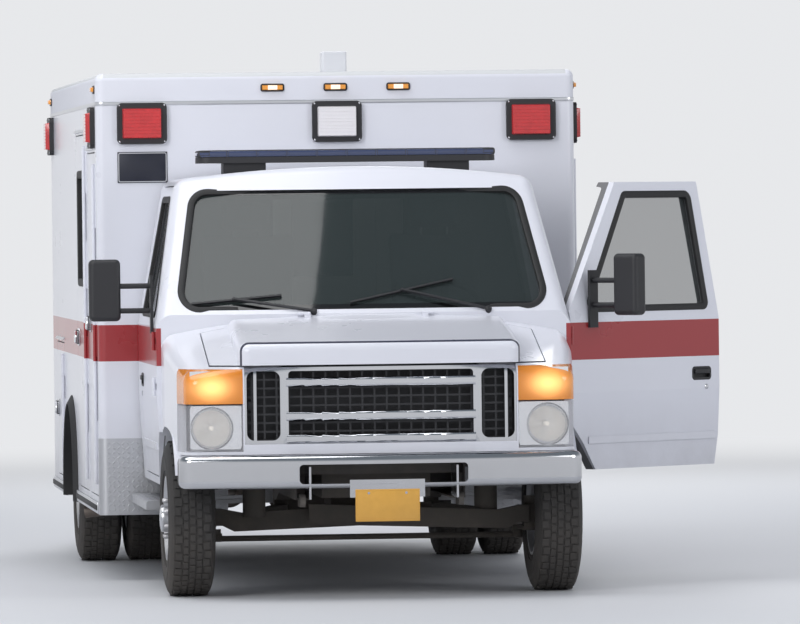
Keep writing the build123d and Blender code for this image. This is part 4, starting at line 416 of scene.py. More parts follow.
def finish(name, colour, gloss, metal=0.0, cloud=(3.0, 0.05), spread=0.06, grain=(300.0, 0.0001), film=None,
           band=None, lining=None, turn=False, flutes=0.0, **sockets):
    """A finish of one base colour with the shared unevenness, road film, band, lining and flutes."""
    material = bpy.data.materials.new(name)
    material.use_nodes = True
    tree = material.node_tree
    shader = tree.nodes["Principled BSDF"]
    uneven = placed_group(tree, SURFACE, Colour=(*colour, 1), Cloud_scale=cloud[0], Cloud_amount=cloud[1],
                          Gloss=gloss, Gloss_spread=spread, Grain_scale=grain[0], Grain_depth=grain[1])
    shown = uneven["Colour"]
    rough = uneven["Roughness"]
    height = uneven["Grain"]
    if band is not None:
        stripe = placed_group(tree, BAND, Place=own_place(tree, turn), Low=BAND_LOW, High=BAND_HIGH,
                              Outside=band)
        shown = mix_colour(tree, stripe["Share"], shown, BAND_RED)
    if film is not None:
        dirt = placed_group(tree, ROAD_FILM, Colour=shown, Top=film[0], Amount=film[1])
        shown = dirt["Colour"]
        rough = (rough + dirt["Share"] * FILM_DULLS).clamped()
    if lining is not None:
        inner = placed_group(tree, lining[0], Place=own_place(tree, turn))["Share"]
        shown = mix_colour(tree, inner, shown, (*lining[1], 1))
        rough = (rough + inner * LINING_DULLS).clamped()
    if flutes:
        height = height + placed_group(tree, FLUTES, Pitch=FLUTE_PITCH, Depth=flutes)["Height"]
    bump = tree.nodes.new("ShaderNodeBump")
    feed(1.0, bump.inputs["Strength"])
    feed(height, bump.inputs["Height"])
    feed(bump.outputs[0], shader.inputs["Normal"])
    feed(shown, shader.inputs["Base Color"])
    feed(rough, shader.inputs["Roughness"])
    feed(metal, shader.inputs["Metallic"])
    for label, value in sockets.items():
        feed(value, shader.inputs[label.replace("_", " ")])
    FINISHES[name] = material
    return material


def painted_over(material, share, colour):
    """Mixes a colour into a finish's base colour and gives the shader's inputs."""
    inputs = material.node_tree.nodes["Principled BSDF"].inputs
    base = inputs["Base Color"].links[0].from_socket
    feed(mix_colour(material.node_tree, share, base, colour), inputs["Base Color"])
    return inputs


def headlamp_finish():
    """Clear lens below, amber lens above with the glow of its lit bulb."""
    material = finish("headlamp_lens", (0.8, 0.8, 0.84), 0.05, spread=0.02, grain=(4.0, 0.0), flutes=0.0005,
                      IOR=1.45, Coat_Weight=0.6)
    tree = material.node_tree
    x, _, z = split(own_place(tree))
    upper = z > LAMP_SPLIT
    inputs = painted_over(material, upper, LAMP_AMBER)
    feed(LOWER_ALPHA + upper * AMBER_ALPHA, inputs["Alpha"])
    across = abs(x) - UPPER_BULB[0]
    rise = z - UPPER_BULB[2]
    away = across * across * 0.4 + rise * rise
    glow = math_node(tree, "POWER", math.e, away / GLOW_SPREAD)
    feed(mix_colour(tree, glow * upper, DARK, GLOW_COLOUR), inputs["Emission Color"])
    feed(GLOW_STRENGTH, inputs["Emission Strength"])


def screen_finish():
    """Windshield glass with the black border round its edge."""
    material = finish("windshield_glass", (0.03, 0.04, 0.04), 0.05, **GLASS)
    tree = material.node_tree
    border = placed_group(tree, SCREEN_BORDER, Place=own_place(tree))["Share"]
    inputs = painted_over(material, border, BORDER_BLACK)
    feed((SCREEN_ALPHA + border * (1 - SCREEN_ALPHA)).clamped(), inputs["Alpha"])


def hood_finish():
    """White paint with painted shade: a dark line round the hood's raised panel, where its step's shadow
    falls.
    """
    material = finish("hood_paint", WHITE, 0.28, **PAINT)
    tree = material.node_tree
    # Painted shade: the raised panel's shadow, drawn as a dark line in the paint
    line = placed_group(tree, PANEL_SHADE_GROUP, Place=own_place(tree))["Share"]
    painted_over(material, line, PANEL_SHADE_DARK)


def glow_finish(name, colour, strength):
    """A lit bulb or tube."""
    finish(name, colour, 0.4, Emission_Color=(*colour, 1), Emission_Strength=strength)


finish("white_paint", WHITE, 0.28, film=(900, 0.35), **PAINT)
finish("box_paint", WHITE, 0.28, film=BODY_FILM, band=0, lining=(BOX_LINING, BOX_INNER), **PAINT)
finish("cab_paint", WHITE, 0.28, film=BODY_FILM, band=CAB_BAND_OUTSIDE, lining=(CAB_LINING, TRIM_GREY),
       **PAINT)
finish("door_paint", WHITE, 0.28, film=BODY_FILM, band=0, turn=True, lining=(CAB_LINING, TRIM_GREY),
       **PAINT)
finish("roof_paint", WHITE, 0.48, lining=(BOX_LINING, BOX_INNER), cloud=(2.0, 0.03),
       grain=(60.0, 0.00003))
finish("floor_vinyl", (0.2, 0.21, 0.23), 0.5, cloud=(40.0, 0.25), grain=(350.0, 0.0004))
glow_finish("ceiling_glow", (1.0, 0.97, 0.92), 2.2)
finish("frame_black", (0.03, 0.03, 0.032), 0.55, film=UNDER_FILM, grain=(120.0, 0.0008))
finish("cast_iron", (0.06, 0.058, 0.056), 0.7, metal=0.4, film=UNDER_FILM, grain=(90.0, 0.0015))
finish("exhaust_steel", (0.2, 0.17, 0.15), 0.6, metal=0.8, cloud=(9.0, 0.2), grain=(60.0, 0.001))
finish("tread_aluminium", (0.56, 0.57, 0.6), 0.36, metal=1.0, film=(1000, 0.3), grain=(220.0, 0.0002))
finish("trim_aluminium", (0.66, 0.67, 0.7), 0.3, metal=1.0, film=(900, 0.2))
finish("tinted_glass", (0.03, 0.04, 0.045), 0.04, Alpha=0.86, **GLASS)
screen_finish()
hood_finish()
finish("door_glass", (0.03, 0.04, 0.04), 0.03, Alpha=0.38, **GLASS)
finish("mirror_glass", (0.62, 0.66, 0.7), 0.03, metal=1.0, spread=0.01, grain=(4.0, 0.0))
finish("chrome", (0.6, 0.61, 0.64), 0.1, metal=1.0, spread=0.05, film=(900, 0.3))
finish("reflector", (0.85, 0.86, 0.88), 0.14, metal=1.0, spread=0.05)
finish("tyre_rubber", (0.022, 0.022, 0.023), 0.75, grain=(260.0, 0.0008), film=(750, 0.35))
finish("wheel_steel", (0.6, 0.61, 0.64), 0.32, metal=0.8, film=WHEEL_FILM)
finish("nut_steel", (0.5, 0.5, 0.52), 0.3, metal=1.0, film=WHEEL_FILM)
finish("black_plastic", (0.02, 0.02, 0.023), 0.5, grain=(700.0, 0.0004))
finish("black_rubber", (0.016, 0.016, 0.017), 0.62, grain=(500.0, 0.0003))
finish("grey_plastic", TRIM_GREY, 0.6, grain=(500.0, 0.0006))
finish("pale_plastic", (0.66, 0.67, 0.7), 0.42, grain=(300.0, 0.0002))
finish("bar_lens", (0.03, 0.045, 0.11), 0.12, flutes=0.0004, Coat_Weight=0.8)
finish("seat_cloth", CLOTH_GREY, 0.85, cloud=(20.0, 0.2), grain=(900.0, 0.001), Sheen_Weight=0.3)
finish("bench_vinyl", (0.04, 0.07, 0.13), 0.42, cloud=(12.0, 0.12), grain=(420.0, 0.0007))
finish("lens_clear", (0.82, 0.8, 0.82), 0.1, spread=0.03, flutes=0.0006, Coat_Weight=0.7)
finish("lens_red", (0.56, 0.02, 0.025), 0.14, cloud=(30.0, 0.3), flutes=0.0006, Coat_Weight=0.7)
finish("lens_amber", (0.85, 0.33, 0.04), 0.14, cloud=(30.0, 0.25), flutes=0.0006, Coat_Weight=0.7)
headlamp_finish()
glow_finish("bulb_amber", (1.0, 0.55, 0.16), 3.0)
glow_finish("bulb_clear", (1.0, 0.93, 0.8), 0.15)
glow_finish("marker_glow", (1.0, 0.8, 0.62), 0.5)
finish("plate_ochre", (0.72, 0.38, 0.06), 0.35, cloud=(24.0, 0.12), film=(700, 0.3))
finish("sign_black", (0.015, 0.017, 0.03), 0.3, cloud=(20.0, 0.2))
finish("cabinet_white", (0.62, 0.64, 0.66), 0.4, grain=(400.0, 0.0002))

NODES_BY_FINISH = {
    "frame_black": ("frame_rails", "fuel_tank", "box_floor"),
    "cast_iron": ("front_axle", "rear_axle", "drive_shaft", "engine", "knuckle_left", "knuckle_right",
                  "tie_rod"),
    "exhaust_steel": ("exhaust",),
    "cab_paint": ("cab_shell", "right_door"),
    "door_paint": ("left_door",),
    "hood_paint": ("hood",),
    "white_paint": ("fenders",),
    "roof_paint": ("box_roof",),
    "windshield_glass": ("windshield",),
    "door_glass": ("left_door_glass", "right_door_glass"),
    "headlamp_lens": ("headlamps",),
    "chrome": ("grille", "front_bumper"),
    "black_plastic": ("radiator_support", "light_bar"),
    "grey_plastic": ("dashboard",),
    "pale_plastic": ("roof_emitter",),
    "tread_aluminium": ("running_boards", "rear_step"),
}
NODE_FINISH = {node: name for name, nodes in NODES_BY_FINISH.items() for node in nodes}
WORD_FINISH = (("glass", "tinted_glass"), ("tyre", "tyre_rubber"), ("rim", "wheel_steel"),
               ("mirror", "black_plastic"))


def finish_of(node):
    """The finish that a CAD node shows."""
    for word, name in WORD_FINISH:
        if word in node and node not in NODE_FINISH:
            return FINISHES[name]
    return FINISHES[NODE_FINISH.get(node, "box_paint")]


for node_name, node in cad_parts.items():
    node.data.materials.clear()
    node.data.materials.append(finish_of(node_name))

# Shapes, drawn in millimetres on the vehicle

SMOOTH_ANGLE = math.radians(34)


def make_piece(name, shape, body, finishes, turn=None, whole=True):
    """Writes a shape as a piece of the frame that rides on a body."""
    bmesh.ops.remove_doubles(shape, verts=shape.verts, dist=0.02)
    if whole:
        bmesh.ops.recalc_face_normals(shape, faces=shape.faces)
    for edge in shape.edges:
        edge.smooth = edge.calc_face_angle(0.0) < SMOOTH_ANGLE
    for face in shape.faces:
        face.smooth = True
    mesh = bpy.data.meshes.new(name)
    shape.to_mesh(mesh)
    shape.free()
    mesh.transform(TO_FRAME @ turn if turn else TO_FRAME)
    for finish_name in finishes:
        mesh.materials.append(FINISHES[finish_name])
    piece = bpy.data.objects.new(name, mesh)
    bpy.context.scene.collection.objects.link(piece)
    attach(piece, body)
    return piece


def on_side(side, limits):
    """Two widths measured out from the centre plane, on one side."""
    return side * limits[0], side * limits[1]


def about(middle, half):
    """The limits of a length about its middle."""
    return middle - half, middle + half


def inset(limits, depth):
    """Limits drawn in at both ends."""
    return limits[0] + depth, limits[1] - depth


def block(shape, x, y, z, edge=0.0, material=0, place=LEVEL, steps=2):
    """A block between limits on each axis, its edges rounded."""
    middle = Matrix.Translation(((x[0] + x[1]) / 2, (y[0] + y[1]) / 2, (z[0] + z[1]) / 2))
    size = Matrix.Diagonal((abs(x[1] - x[0]), abs(y[1] - y[0]), abs(z[1] - z[0]), 1))
    made = bmesh.ops.create_cube(shape, size=1.0, matrix=middle @ size)["verts"]
    faces = {face for vert in made for face in vert.link_faces}
    edges = list({line for vert in made for line in vert.link_edges})
    verts = set(made)
    if edge:
        rounded_off = bmesh.ops.bevel(shape, geom=edges, offset=edge, segments=steps, profile=0.5,
                                      affect="EDGES")
        faces |= set(rounded_off["faces"])
        verts = {vert for face in faces if face.is_valid for vert in face.verts}
    for face in faces:
        if face.is_valid:
            face.material_index = material
    bmesh.ops.transform(shape, matrix=place, verts=[vert for vert in verts if vert.is_valid])


def blocks(shape, rows, place=LEVEL):
    """Blocks given as rows of limits on each axis, edge radius and material."""
    for x, y, z, edge, material in rows:
        block(shape, x, y, z, edge, material, place)


def join_rings(shape, rings, closed, material=0):
    """Faces from each ring of vertices to the next."""
    for index in range(len(rings) if closed else len(rings) - 1):
        first, second = rings[index], rings[(index + 1) % len(rings)]
        for number in range(len(first)):
            after = (number + 1) % len(first)
            face = shape.faces.new((first[number], first[after], second[after], second[number]))
            face.material_index = material


def sweep(shape, frames, profile, closed=False, material=0):
    """Carries a closed profile of (across, out) along frames of place, across and out."""
    rings = [[shape.verts.new(place + across * a + out * b) for a, b in profile] for place, across,
             out in frames]
    join_rings(shape, rings, closed, material)
    if not closed:
        for ring in (rings[0], rings[-1]):
            shape.faces.new(ring).material_index = material


def lathe(shape, centre, axis, profile, steps=48, material=0):
    """Turns a closed profile of (radius, along) about an axis through a centre."""
    along = Vector(axis).normalized()
    across = along.orthogonal().normalized()
    third = along.cross(across)
    frames = []
    for count in range(steps):
        angle = 2 * math.pi * count / steps
        frames.append((Vector(centre), across * math.cos(angle) + third * math.sin(angle), along))
    sweep(shape, frames, profile, True, material)


def rod(shape, start, end, radius, material=0, steps=16):
    """A round rod between two points."""
    span = Vector(end) - Vector(start)
    profile = ((0, 0), (radius, 0), (radius, span.length), (0, span.length))
    lathe(shape, start, span, profile, steps, material)


def rounded(corners, radius, steps=6):
    """A closed outline with rounded corners, as points with their outward normals."""
    line = []
    for index, corner in enumerate(corners):
        here = Vector(corner)
        arriving = (here - Vector(corners[index - 1])).normalized()
        leaving = (Vector(corners[(index + 1) % len(corners)]) - here).normalized()
        turn = arriving.angle_signed(leaving) * -1
        normal = Vector((arriving.y, -arriving.x))
        reach = radius * math.tan(abs(turn) / 2)
        middle = here - arriving * reach - normal * radius
        for step in range(steps + 1):
            angle = turn * step / steps
            aim = Vector((normal.x * math.cos(angle) - normal.y * math.sin(angle),
                          normal.x * math.sin(angle) + normal.y * math.cos(angle)))
            line.append((middle + aim * radius, aim))
    return line


def along_surface(line, surface):
    """Frames of a sweep for an outline that lies on a surface."""
    frames = []
    for point, normal in line:
        place, out = surface(point.x, point.y)
        across = (surface(*(point + normal))[0] - place).normalized()
        frames.append((place, across, out))
    return frames


def screen_surface(x, z):
    """Point and outward normal on the cab's front, over the windshield."""
    place = Vector((x, COWL_Y + x * x / (2 * SCREEN_BOW) + SCREEN_SLOPE * (z - COWL_Z), z))
    return place, Vector((x / SCREEN_BOW, -1, SCREEN_SLOPE)).normalized()


def cab_side(side):
    """The surface of the cab's side, which leans in above the belt."""
    def surface(y, z):
        return (Vector((side * (CAB_HALF - CAB_LEAN * max(z - CAB_BELT, 0)), y, z)),
                Vector((side, 0, CAB_LEAN)).normalized())
    return surface


def box_side(side):
    """The flat surface of the box's side."""
    return lambda y, z: (Vector((side * BOX_HALF, y, z)), Vector((side, 0, 0)))


def upright(y, out):
    """A flat surface across the vehicle at a station."""
    return lambda x, z: (Vector((x, y, z)), out)


def rectangle(across, up):
    """Corners of an upright rectangle, counterclockwise."""
    return ((across[0], up[0]), (across[1], up[0]), (across[1], up[1]), (across[0], up[1]))


# Repeats, made by trees of geometry nodes


def repeat_tree(name, inputs):
    """A tree that sets out copies of a part; its points and turns are added by the caller."""
    tree = bpy.data.node_groups.new(name, "GeometryNodeTree")
    add_inputs(tree, (*inputs, ("Part", "NodeSocketObject", None), ("Finish", "NodeSocketMaterial", None)))
    tree.interface.new_socket("Geometry", in_out="OUTPUT", socket_type="NodeSocketGeometry")
    given = {socket.name: Value(socket) for socket in tree.nodes.new("NodeGroupInput").outputs}
    part = tree.nodes.new("GeometryNodeObjectInfo")
    copies = tree.nodes.new("GeometryNodeInstanceOnPoints")
    real = tree.nodes.new("GeometryNodeRealizeInstances")
    painted = tree.nodes.new("GeometryNodeSetMaterial")
    feed(given["Part"], part.inputs["Object"])
    feed(part.outputs["Geometry"], copies.inputs["Instance"])
    feed(copies.outputs[0], real.inputs[0])
    feed(real.outputs[0], painted.inputs["Geometry"])
    feed(given["Finish"], painted.inputs["Material"])
    feed(painted.outputs[0], tree.nodes.new("NodeGroupOutput").inputs[0])
    return tree, given, copies.inputs


def three(tree, x=0.0, y=0.0, z=0.0):
    """A vector of outputs or plain numbers."""
    node = tree.nodes.new("ShaderNodeCombineXYZ")
    for socket, value in zip(node.inputs, (x, y, z)):
        feed(value, socket)
    return Value(node.outputs[0])


def alternating(count):
    """-1 and 1 in turn as a whole number goes up."""
    return (count % 2.0) * 2.0 - 1.0


def make_ring_tree():
    """Parts round a wheel's axis, their tops outwards, every second one shifted along it."""
    tree, given, copies = repeat_tree("parts_in_a_ring", (
        ("Count", WHOLE, 8), ("Ring radius", NUMBER, 90.0), ("Shift", NUMBER, 0.0), ("Start", NUMBER, 0.0),
        ("Tops out", NUMBER, 1.0)))
    index = Value(tree.nodes.new("GeometryNodeInputIndex").outputs[0])
    angle = index * (2 * math.pi) / given["Count"] + given["Start"]
    radius = given["Ring radius"]
    points = tree.nodes.new("GeometryNodePoints")
    feed(given["Count"], points.inputs["Count"])
    feed(three(tree, alternating(index) * given["Shift"], angle.math("COSINE") * radius,
               angle.math("SINE") * radius), points.inputs["Position"])
    feed(points.outputs[0], copies["Points"])
    feed(three(tree, (angle - math.pi / 2) * given["Tops out"]), copies["Rotation"])
    return tree


def make_grid_tree():
    """Parts on a level grid, each second one turned the other way."""
    tree, given, copies = repeat_tree("parts_in_a_grid", (
        ("Count X", WHOLE, 8), ("Count Y", WHOLE, 8), ("Pitch X", NUMBER, 25.0), ("Pitch Y", NUMBER, 25.0),
        ("Turn", NUMBER, 0.785)))
    grid = tree.nodes.new("GeometryNodeMeshGrid")
    for axis in "XY":
        feed((given[f"Count {axis}"] - 1.0) * given[f"Pitch {axis}"], grid.inputs[f"Size {axis}"])
        feed(given[f"Count {axis}"], grid.inputs[f"Vertices {axis}"])
    index = Value(tree.nodes.new("GeometryNodeInputIndex").outputs[0])
    spot = (index / given["Count Y"]).math("FLOOR") + index % given["Count Y"]
    feed(grid.outputs["Mesh"], copies["Points"])
    feed(three(tree, 0.0, 0.0, alternating(spot) * given["Turn"]), copies["Rotation"])
    return tree


RING_TREE = make_ring_tree()
GRID_TREE = make_grid_tree()


def set_out(tree, part, finish_name, **values):
    """Plain mesh of the copies that a tree sets out; the part is a shape drawn about the origin."""
    bmesh.ops.remove_doubles(part, verts=part.verts, dist=0.01)
    bmesh.ops.recalc_face_normals(part, faces=part.faces)
    part_mesh = bpy.data.meshes.new("part")
    part.to_mesh(part_mesh)
    part.free()
    part_object = bpy.data.objects.new("part", part_mesh)
    carrier = bpy.data.objects.new("carrier", bpy.data.meshes.new("carrier"))
    bpy.context.scene.collection.objects.link(carrier)
    modifier = carrier.modifiers.new("repeat", "NODES")
    modifier.node_group = tree
    values = {**{label.replace("_", " "): value for label, value in values.items()},
              "Part": part_object, "Finish": FINISHES[finish_name]}
    for item in tree.interface.items_tree:
        if item.in_out == "INPUT" and item.name in values:
            modifier[item.identifier] = values[item.name]
    evaluated = carrier.evaluated_get(bpy.context.evaluated_depsgraph_get())
    mesh = bpy.data.meshes.new_from_object(evaluated)
    bpy.data.objects.remove(carrier)
    bpy.data.objects.remove(part_object)
    return mesh


def add_mesh(shape, mesh, place, material=0):
    """Adds a plain mesh to a shape, set in its place."""
    placed = mesh.copy()
    placed.transform(place)
    for face in placed.polygons:
        face.material_index = material
    shape.from_mesh(placed)
    bpy.data.meshes.remove(placed)


# Glass seals: windshield, cab doors, entry door and rear doors

WINDOW_LINE = ((2035, 1340), (2025, 1910), (1530, 1910), (1120, 1340))
ENTRY_WINDOW_Y = (3430, 3950)
REAR_WINDOW_X = (130, 470)
BOX_WINDOW_Z = (1480, 2050)
SEAL_PROFILE = ((-22, -GLASS_DEPTH), (-22, 1), (-14, 5), (4, 5), (11, 1), (11, -4))
FLAT_SEAL = ((-26, -20), (-26, 2), (-18, 7), (8, 7), (15, 2), (15, -2))


def make_seal(name, line, surface, profile, body, turn=None):
    """A rubber seal that follows a window's outline."""
    shape = bmesh.new()
    sweep(shape, along_surface(line, surface), profile, True)
    make_piece(name, shape, body, ["black_rubber"], turn)


def make_seals():
    """The seals of all windows."""
    make_seal("windshield_seal", rounded(SCREEN_LINE, 90, 10), screen_surface, SEAL_PROFILE, "chassis")
    for side, name in LEFT_AND_RIGHT:
        make_seal(f"{name}_window_seal", rounded(WINDOW_LINE, 35), cab_side(side), SEAL_PROFILE,
                  f"{name}_door", DOOR_TURN[side])
    line = rounded(rectangle(ENTRY_WINDOW_Y, BOX_WINDOW_Z), 26)
    make_seal("entry_window_seal", line, box_side(-1), FLAT_SEAL, "entry_door")
    for side, name in LEFT_AND_RIGHT:
        line = rounded(rectangle(sorted(on_side(side, REAR_WINDOW_X)), BOX_WINDOW_Z), 26)
        make_seal(f"rear_window_seal_{name}", line, upright(BOX_REAR, BACKWARD), FLAT_SEAL,
                  f"rear_door_{name}")


# Wipers: pivot, arm and blade, parked at the foot of the windshield

WIPERS = (
    # pivot, blade's ends, each as width and height
    ((-250, 1352), (-862, 1396), (-400, 1436)),
    ((600, 1352), (-70, 1398), (440, 1504)),
)
BLADE_PROFILE = ((-2, -14), (2, -14), (5, -4), (5, 3), (-5, 3), (-5, -4))
ARM_PROFILE = ((-7, -4), (7, -4), (5, 5), (-5, 5))
PIVOT_CAP = ((0, -14), (17, -14), (15, 16), (9, 22), (0, 22))


def on_screen(start, end, steps, lift_start, lift_end):
    """Frames along the windshield from one place to another, lifted off it."""
    frames = []
    for step in range(steps + 1):
        share = step / steps
        place, out = screen_surface(*(Vector(start).lerp(Vector(end), share)))
        ahead = screen_surface(*(Vector(start).lerp(Vector(end), share + 0.01)))[0] - place
        lift = lift_start + (lift_end - lift_start) * share
        frames.append((place + out * lift, ahead.cross(out).normalized(), out))
    return frames


def make_wipers():
    """Both wipers."""
    shape = bmesh.new()
    for pivot, start, end in WIPERS:
        sweep(shape, on_screen(start, end, 12, 0, 0), BLADE_PROFILE)
        middle = Vector(start).lerp(Vector(end), 0.5)
        sweep(shape, on_screen(pivot, middle, 8, 12, 8), ARM_PROFILE)
        place, out = screen_surface(*pivot)
        lathe(shape, place, out, PIVOT_CAP, 24)
        hub, out = screen_surface(*middle)
        rod(shape, hub - out * 2, hub + out * 12, 8)
    make_piece("wipers", shape, "chassis", ["black_plastic"])


# Cab doors' small pieces: pull handle and lock, and mirror glass

HANDLE_Y = (1910, 2040)
HANDLE_Z = (989, 1041)
HANDLE_GRIP_Z = (1013, 1036)
HANDLE_RIM = ((-5, -16), (-5, 2), (4, 3), (8, 0), (8, -2), (-1, -16))
LOCK_PLACE = (2010, 947)
LOCK = ((0, -3), (13, -3), (13, 2), (10, 4), (0, 4))
MIRROR_X = (1183, 1300)
MIRROR_Y = (1206, 1211)
MIRROR_PANES = ((1412, 1598), (1334, 1404))


def make_door_pieces():
    """Handle, lock and mirror glass of each cab door."""
    for side, name in LEFT_AND_RIGHT:
        shape = bmesh.new()
        face = side * CAB_HALF
        line = rounded(rectangle(HANDLE_Y, HANDLE_Z), 12)
        sweep(shape, along_surface(line, cab_side(side)), HANDLE_RIM, True)
        block(shape, (face - side * 21, face + side * 11), inset(HANDLE_Y, 9), HANDLE_GRIP_Z, 4)
        block(shape, (face - side * 23, face - side * 19), inset(HANDLE_Y, 3), inset(HANDLE_Z, 3))
        lathe(shape, (face, *LOCK_PLACE), (side, 0, 0), LOCK, 24, 1)
        make_piece(f"{name}_door_handle", shape, f"{name}_door",
                   ["black_plastic", "chrome"], DOOR_TURN[side])
        shape = bmesh.new()
        for pane in MIRROR_PANES:
            block(shape, on_side(side, MIRROR_X), MIRROR_Y, pane, 2)
        make_piece(f"{name}_mirror_glass", shape, f"{name}_door", ["mirror_glass"], DOOR_TURN[side])


# Cab doors' inner trim

DOOR_INNER = CAB_HALF - 60
DOOR_TRIM = (
    # depth, limits along and up, edge, material, steps
    # arm rest, cloth panel and pocket
    (42, (1360, 1890), (1012, 1058), 14, 0, 3),
    (6, (1250, 1985), (930, 1240), 5, 1, 2),
    (30, (1440, 1960), (772, 905), 12, 0, 3),
    # both ends of the pull, the release lever's plate and the lever
    (44, (1424, 1448), (1052, 1072), 5, 2, 2),
    (44, (1632, 1656), (1086, 1108), 5, 2, 2),
    (16, (1300, 1390), (1152, 1196), 5, 2, 2),
    (26, (1316, 1374), (1168, 1180), 4, 3, 2),
)
PULL_DEPTH = 34
PULL_ENDS = ((1440, 1062), (1640, 1096))
SPEAKER_PLACE = (1330, 838)
SPEAKER = ((0, 0), (82, 0), (80, 9), (70, 11), (68, 7), (0, 10))
SPEAKER_RINGS = (18, 34, 50)


def make_door_trims():
    """Arm rest, panel, pocket, pull, release lever and loudspeaker cover of each cab door."""
    for side, name in LEFT_AND_RIGHT:
        shape = bmesh.new()
        inner = side * (DOOR_INNER + 1)
        for depth, y, z, edge, material, steps in DOOR_TRIM:
            block(shape, (inner, side * (DOOR_INNER - depth)), y, z, edge, material, steps=steps)
        start, end = [(side * (DOOR_INNER - PULL_DEPTH), y, z) for y, z in PULL_ENDS]
        rod(shape, start, end, 10, 2)
        speaker = Vector((inner, *SPEAKER_PLACE))
        lathe(shape, speaker, (-side, 0, 0), SPEAKER, 40, 2)
        for ring in SPEAKER_RINGS:
            lathe(shape, speaker + Vector((-side * 9, 0, 0)), (-side, 0, 0),
                  ((ring - 2, -3), (ring - 2, 2), (ring + 2, 2), (ring + 2, -3)), 32, 2)
        make_piece(f"{name}_door_trim", shape, f"{name}_door",
                   ["grey_plastic", "seat_cloth", "black_plastic", "chrome"], DOOR_TURN[side])


# Headlamps: bowls with their bulbs, and the bright bezel that frames them

BEZEL_IN = 660
BEZEL_OUT = 902
BEZEL_THICK = 2
BEZEL_STEPS = 64
BOWL_STEPS = 12
BOWLS = (
    # centre, radius, the bezel's lower and upper edge
    ((800, 195, 815), 102, 716, 922),
    ((800, 205, 1010), 74, 934, 1086),
)
BULBS = (
    # place, how far it reaches back, radius, material
    (UPPER_BULB, 52, 13, 0),
    (LOWER_BULB, 74, 11, 1),
)
BULB_NOSE = 14


def bezel_y(x):
    """Station of the lamp housing's bowed front."""
    return 142.5 + 60 * (x / 945) ** 2


def add_bowl(shape, side, centre, radius):
    """A bowl's thin wall, which starts at the bezel; gives the radius of its opening."""
    x, y, z = centre
    start = -math.asin(min((y - bezel_y(x)) / radius, 1))
    arc = [start + (math.pi / 2 - start) * step / BOWL_STEPS for step in range(BOWL_STEPS + 1)]
    wall = [(radius * math.cos(angle), radius * math.sin(angle)) for angle in arc]
    wall += [((radius + 1) * math.cos(angle), (radius + 1) * math.sin(angle)) for angle in reversed(arc)]
    lathe(shape, (side * x, y, z), BACKWARD, wall)
    return radius * math.cos(start)


def add_bezel(shape, side, centre, hole, low, high):
    """The bowed plate from a bowl's opening out to the lamp's edges."""
    x, _, z = centre
    rings = []
    for count in range(BEZEL_STEPS):
        angle = 2 * math.pi * (count + 0.5) / BEZEL_STEPS
        aim = Vector((math.cos(angle), math.sin(angle)))
        reach_x = ((BEZEL_OUT if aim.x > 0 else BEZEL_IN) - x) / aim.x
        reach_z = ((high if aim.y > 0 else low) - z) / aim.y
        edge = aim * min(abs(reach_x), abs(reach_z))
        spots = ((aim * hole, 0), (edge, 0), (edge, BEZEL_THICK), (aim * hole, BEZEL_THICK))
        rings.append([shape.verts.new((side * (x + spot.x), bezel_y(x + spot.x) + deep, z + spot.y))
                      for spot, deep in spots])
    join_rings(shape, rings, True)


def make_headlamp_pieces():
    """Bowls with their bezels, and the bulbs."""
    shape = bmesh.new()
    for side in SIDES:
        for centre, radius, low, high in BOWLS:
            hole = add_bowl(shape, side, centre, radius)
            add_bezel(shape, side, centre, hole, low, high)
    make_piece("headlamp_bowls", shape, "chassis", ["reflector"])
    shape = bmesh.new()
    for side in SIDES:
        for (x, y, z), long, radius, material in BULBS:
            nose = (side * x, y - BULB_NOSE, z)
            rod(shape, nose, (side * x, y + long, z), radius, material)
            tip = ((0, 0), (radius, 0), (radius * 0.8, radius * 0.6), (0, radius))
            lathe(shape, nose, FORWARD, tip, 16, material)
    make_piece("headlamp_bulbs", shape, "chassis", ["bulb_amber", "bulb_clear"])


# Lamps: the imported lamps' own forms, with frame and lens in their finishes, and their details


def warning_lens(place):
    """Clear in the middle of the front, red elsewhere."""
    return 2 if abs(place.x) < 200 and place.y < BOX_FRONT else 1


def marker_lens(place):
    """Red on the rear, amber elsewhere."""
    return 2 if place.y > BOX_REAR else 1


def rear_lens(place):
    """Clear at the foot, amber above it and red at the top."""
    return 1 + (place.z > 1000) + (place.z > 1160)


LAMPS = (
    # kind, slot, how far out a face counts as lens, the lens of a place, finishes
    ("warning", "lamp_red", 24.5, warning_lens, ["black_plastic", "lens_red", "lens_clear"]),
    ("marker", "lamp_amber", 6.5, marker_lens, ["black_plastic", "lens_amber", "lens_red"]),
    ("rear", "lamp_red", 12.5, rear_lens, ["chrome", "lens_clear", "lens_amber", "lens_red"]),
)
FRONT_LAMPS = (-975, 5, 985)
REAR_LAMP_X = 905
SIDE_LAMP_Y = inset((BOX_FRONT, BOX_REAR), 210)
WARNING_Z = 2289
SIDE_WARNING_Z = 2272
MARKER_X = (-317, 0, 317)
MARKER_Z = 2462
LENS_OUT = 45
FRAME_OUT = 24
SCREW = ((0, -1), (4.5, -1), (4.5, 1.5), (3, 2.6), (0, 2.6))
RIB = ((-92, 92), (-1.2, 1.2), (-1, 1.6), 0.6)
MARKER_MIDDLE = ((-24, 24), (-11, 11), (17, 21.5), 2, 0)


def node_shape(name):
    """A merged copy of a CAD node's mesh, in millimetres on the vehicle."""
    shape = bmesh.new()
    shape.from_mesh(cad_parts[name].data)
    bmesh.ops.transform(shape, matrix=FROM_FRAME, verts=shape.verts)
    bmesh.ops.remove_doubles(shape, verts=shape.verts, dist=0.01)
    return shape


def proud(point):
    """How far a point stands out of the box's front, rear or side."""
    return max(BOX_FRONT - point.y, point.y - BOX_REAR, abs(point.x) - BOX_HALF)


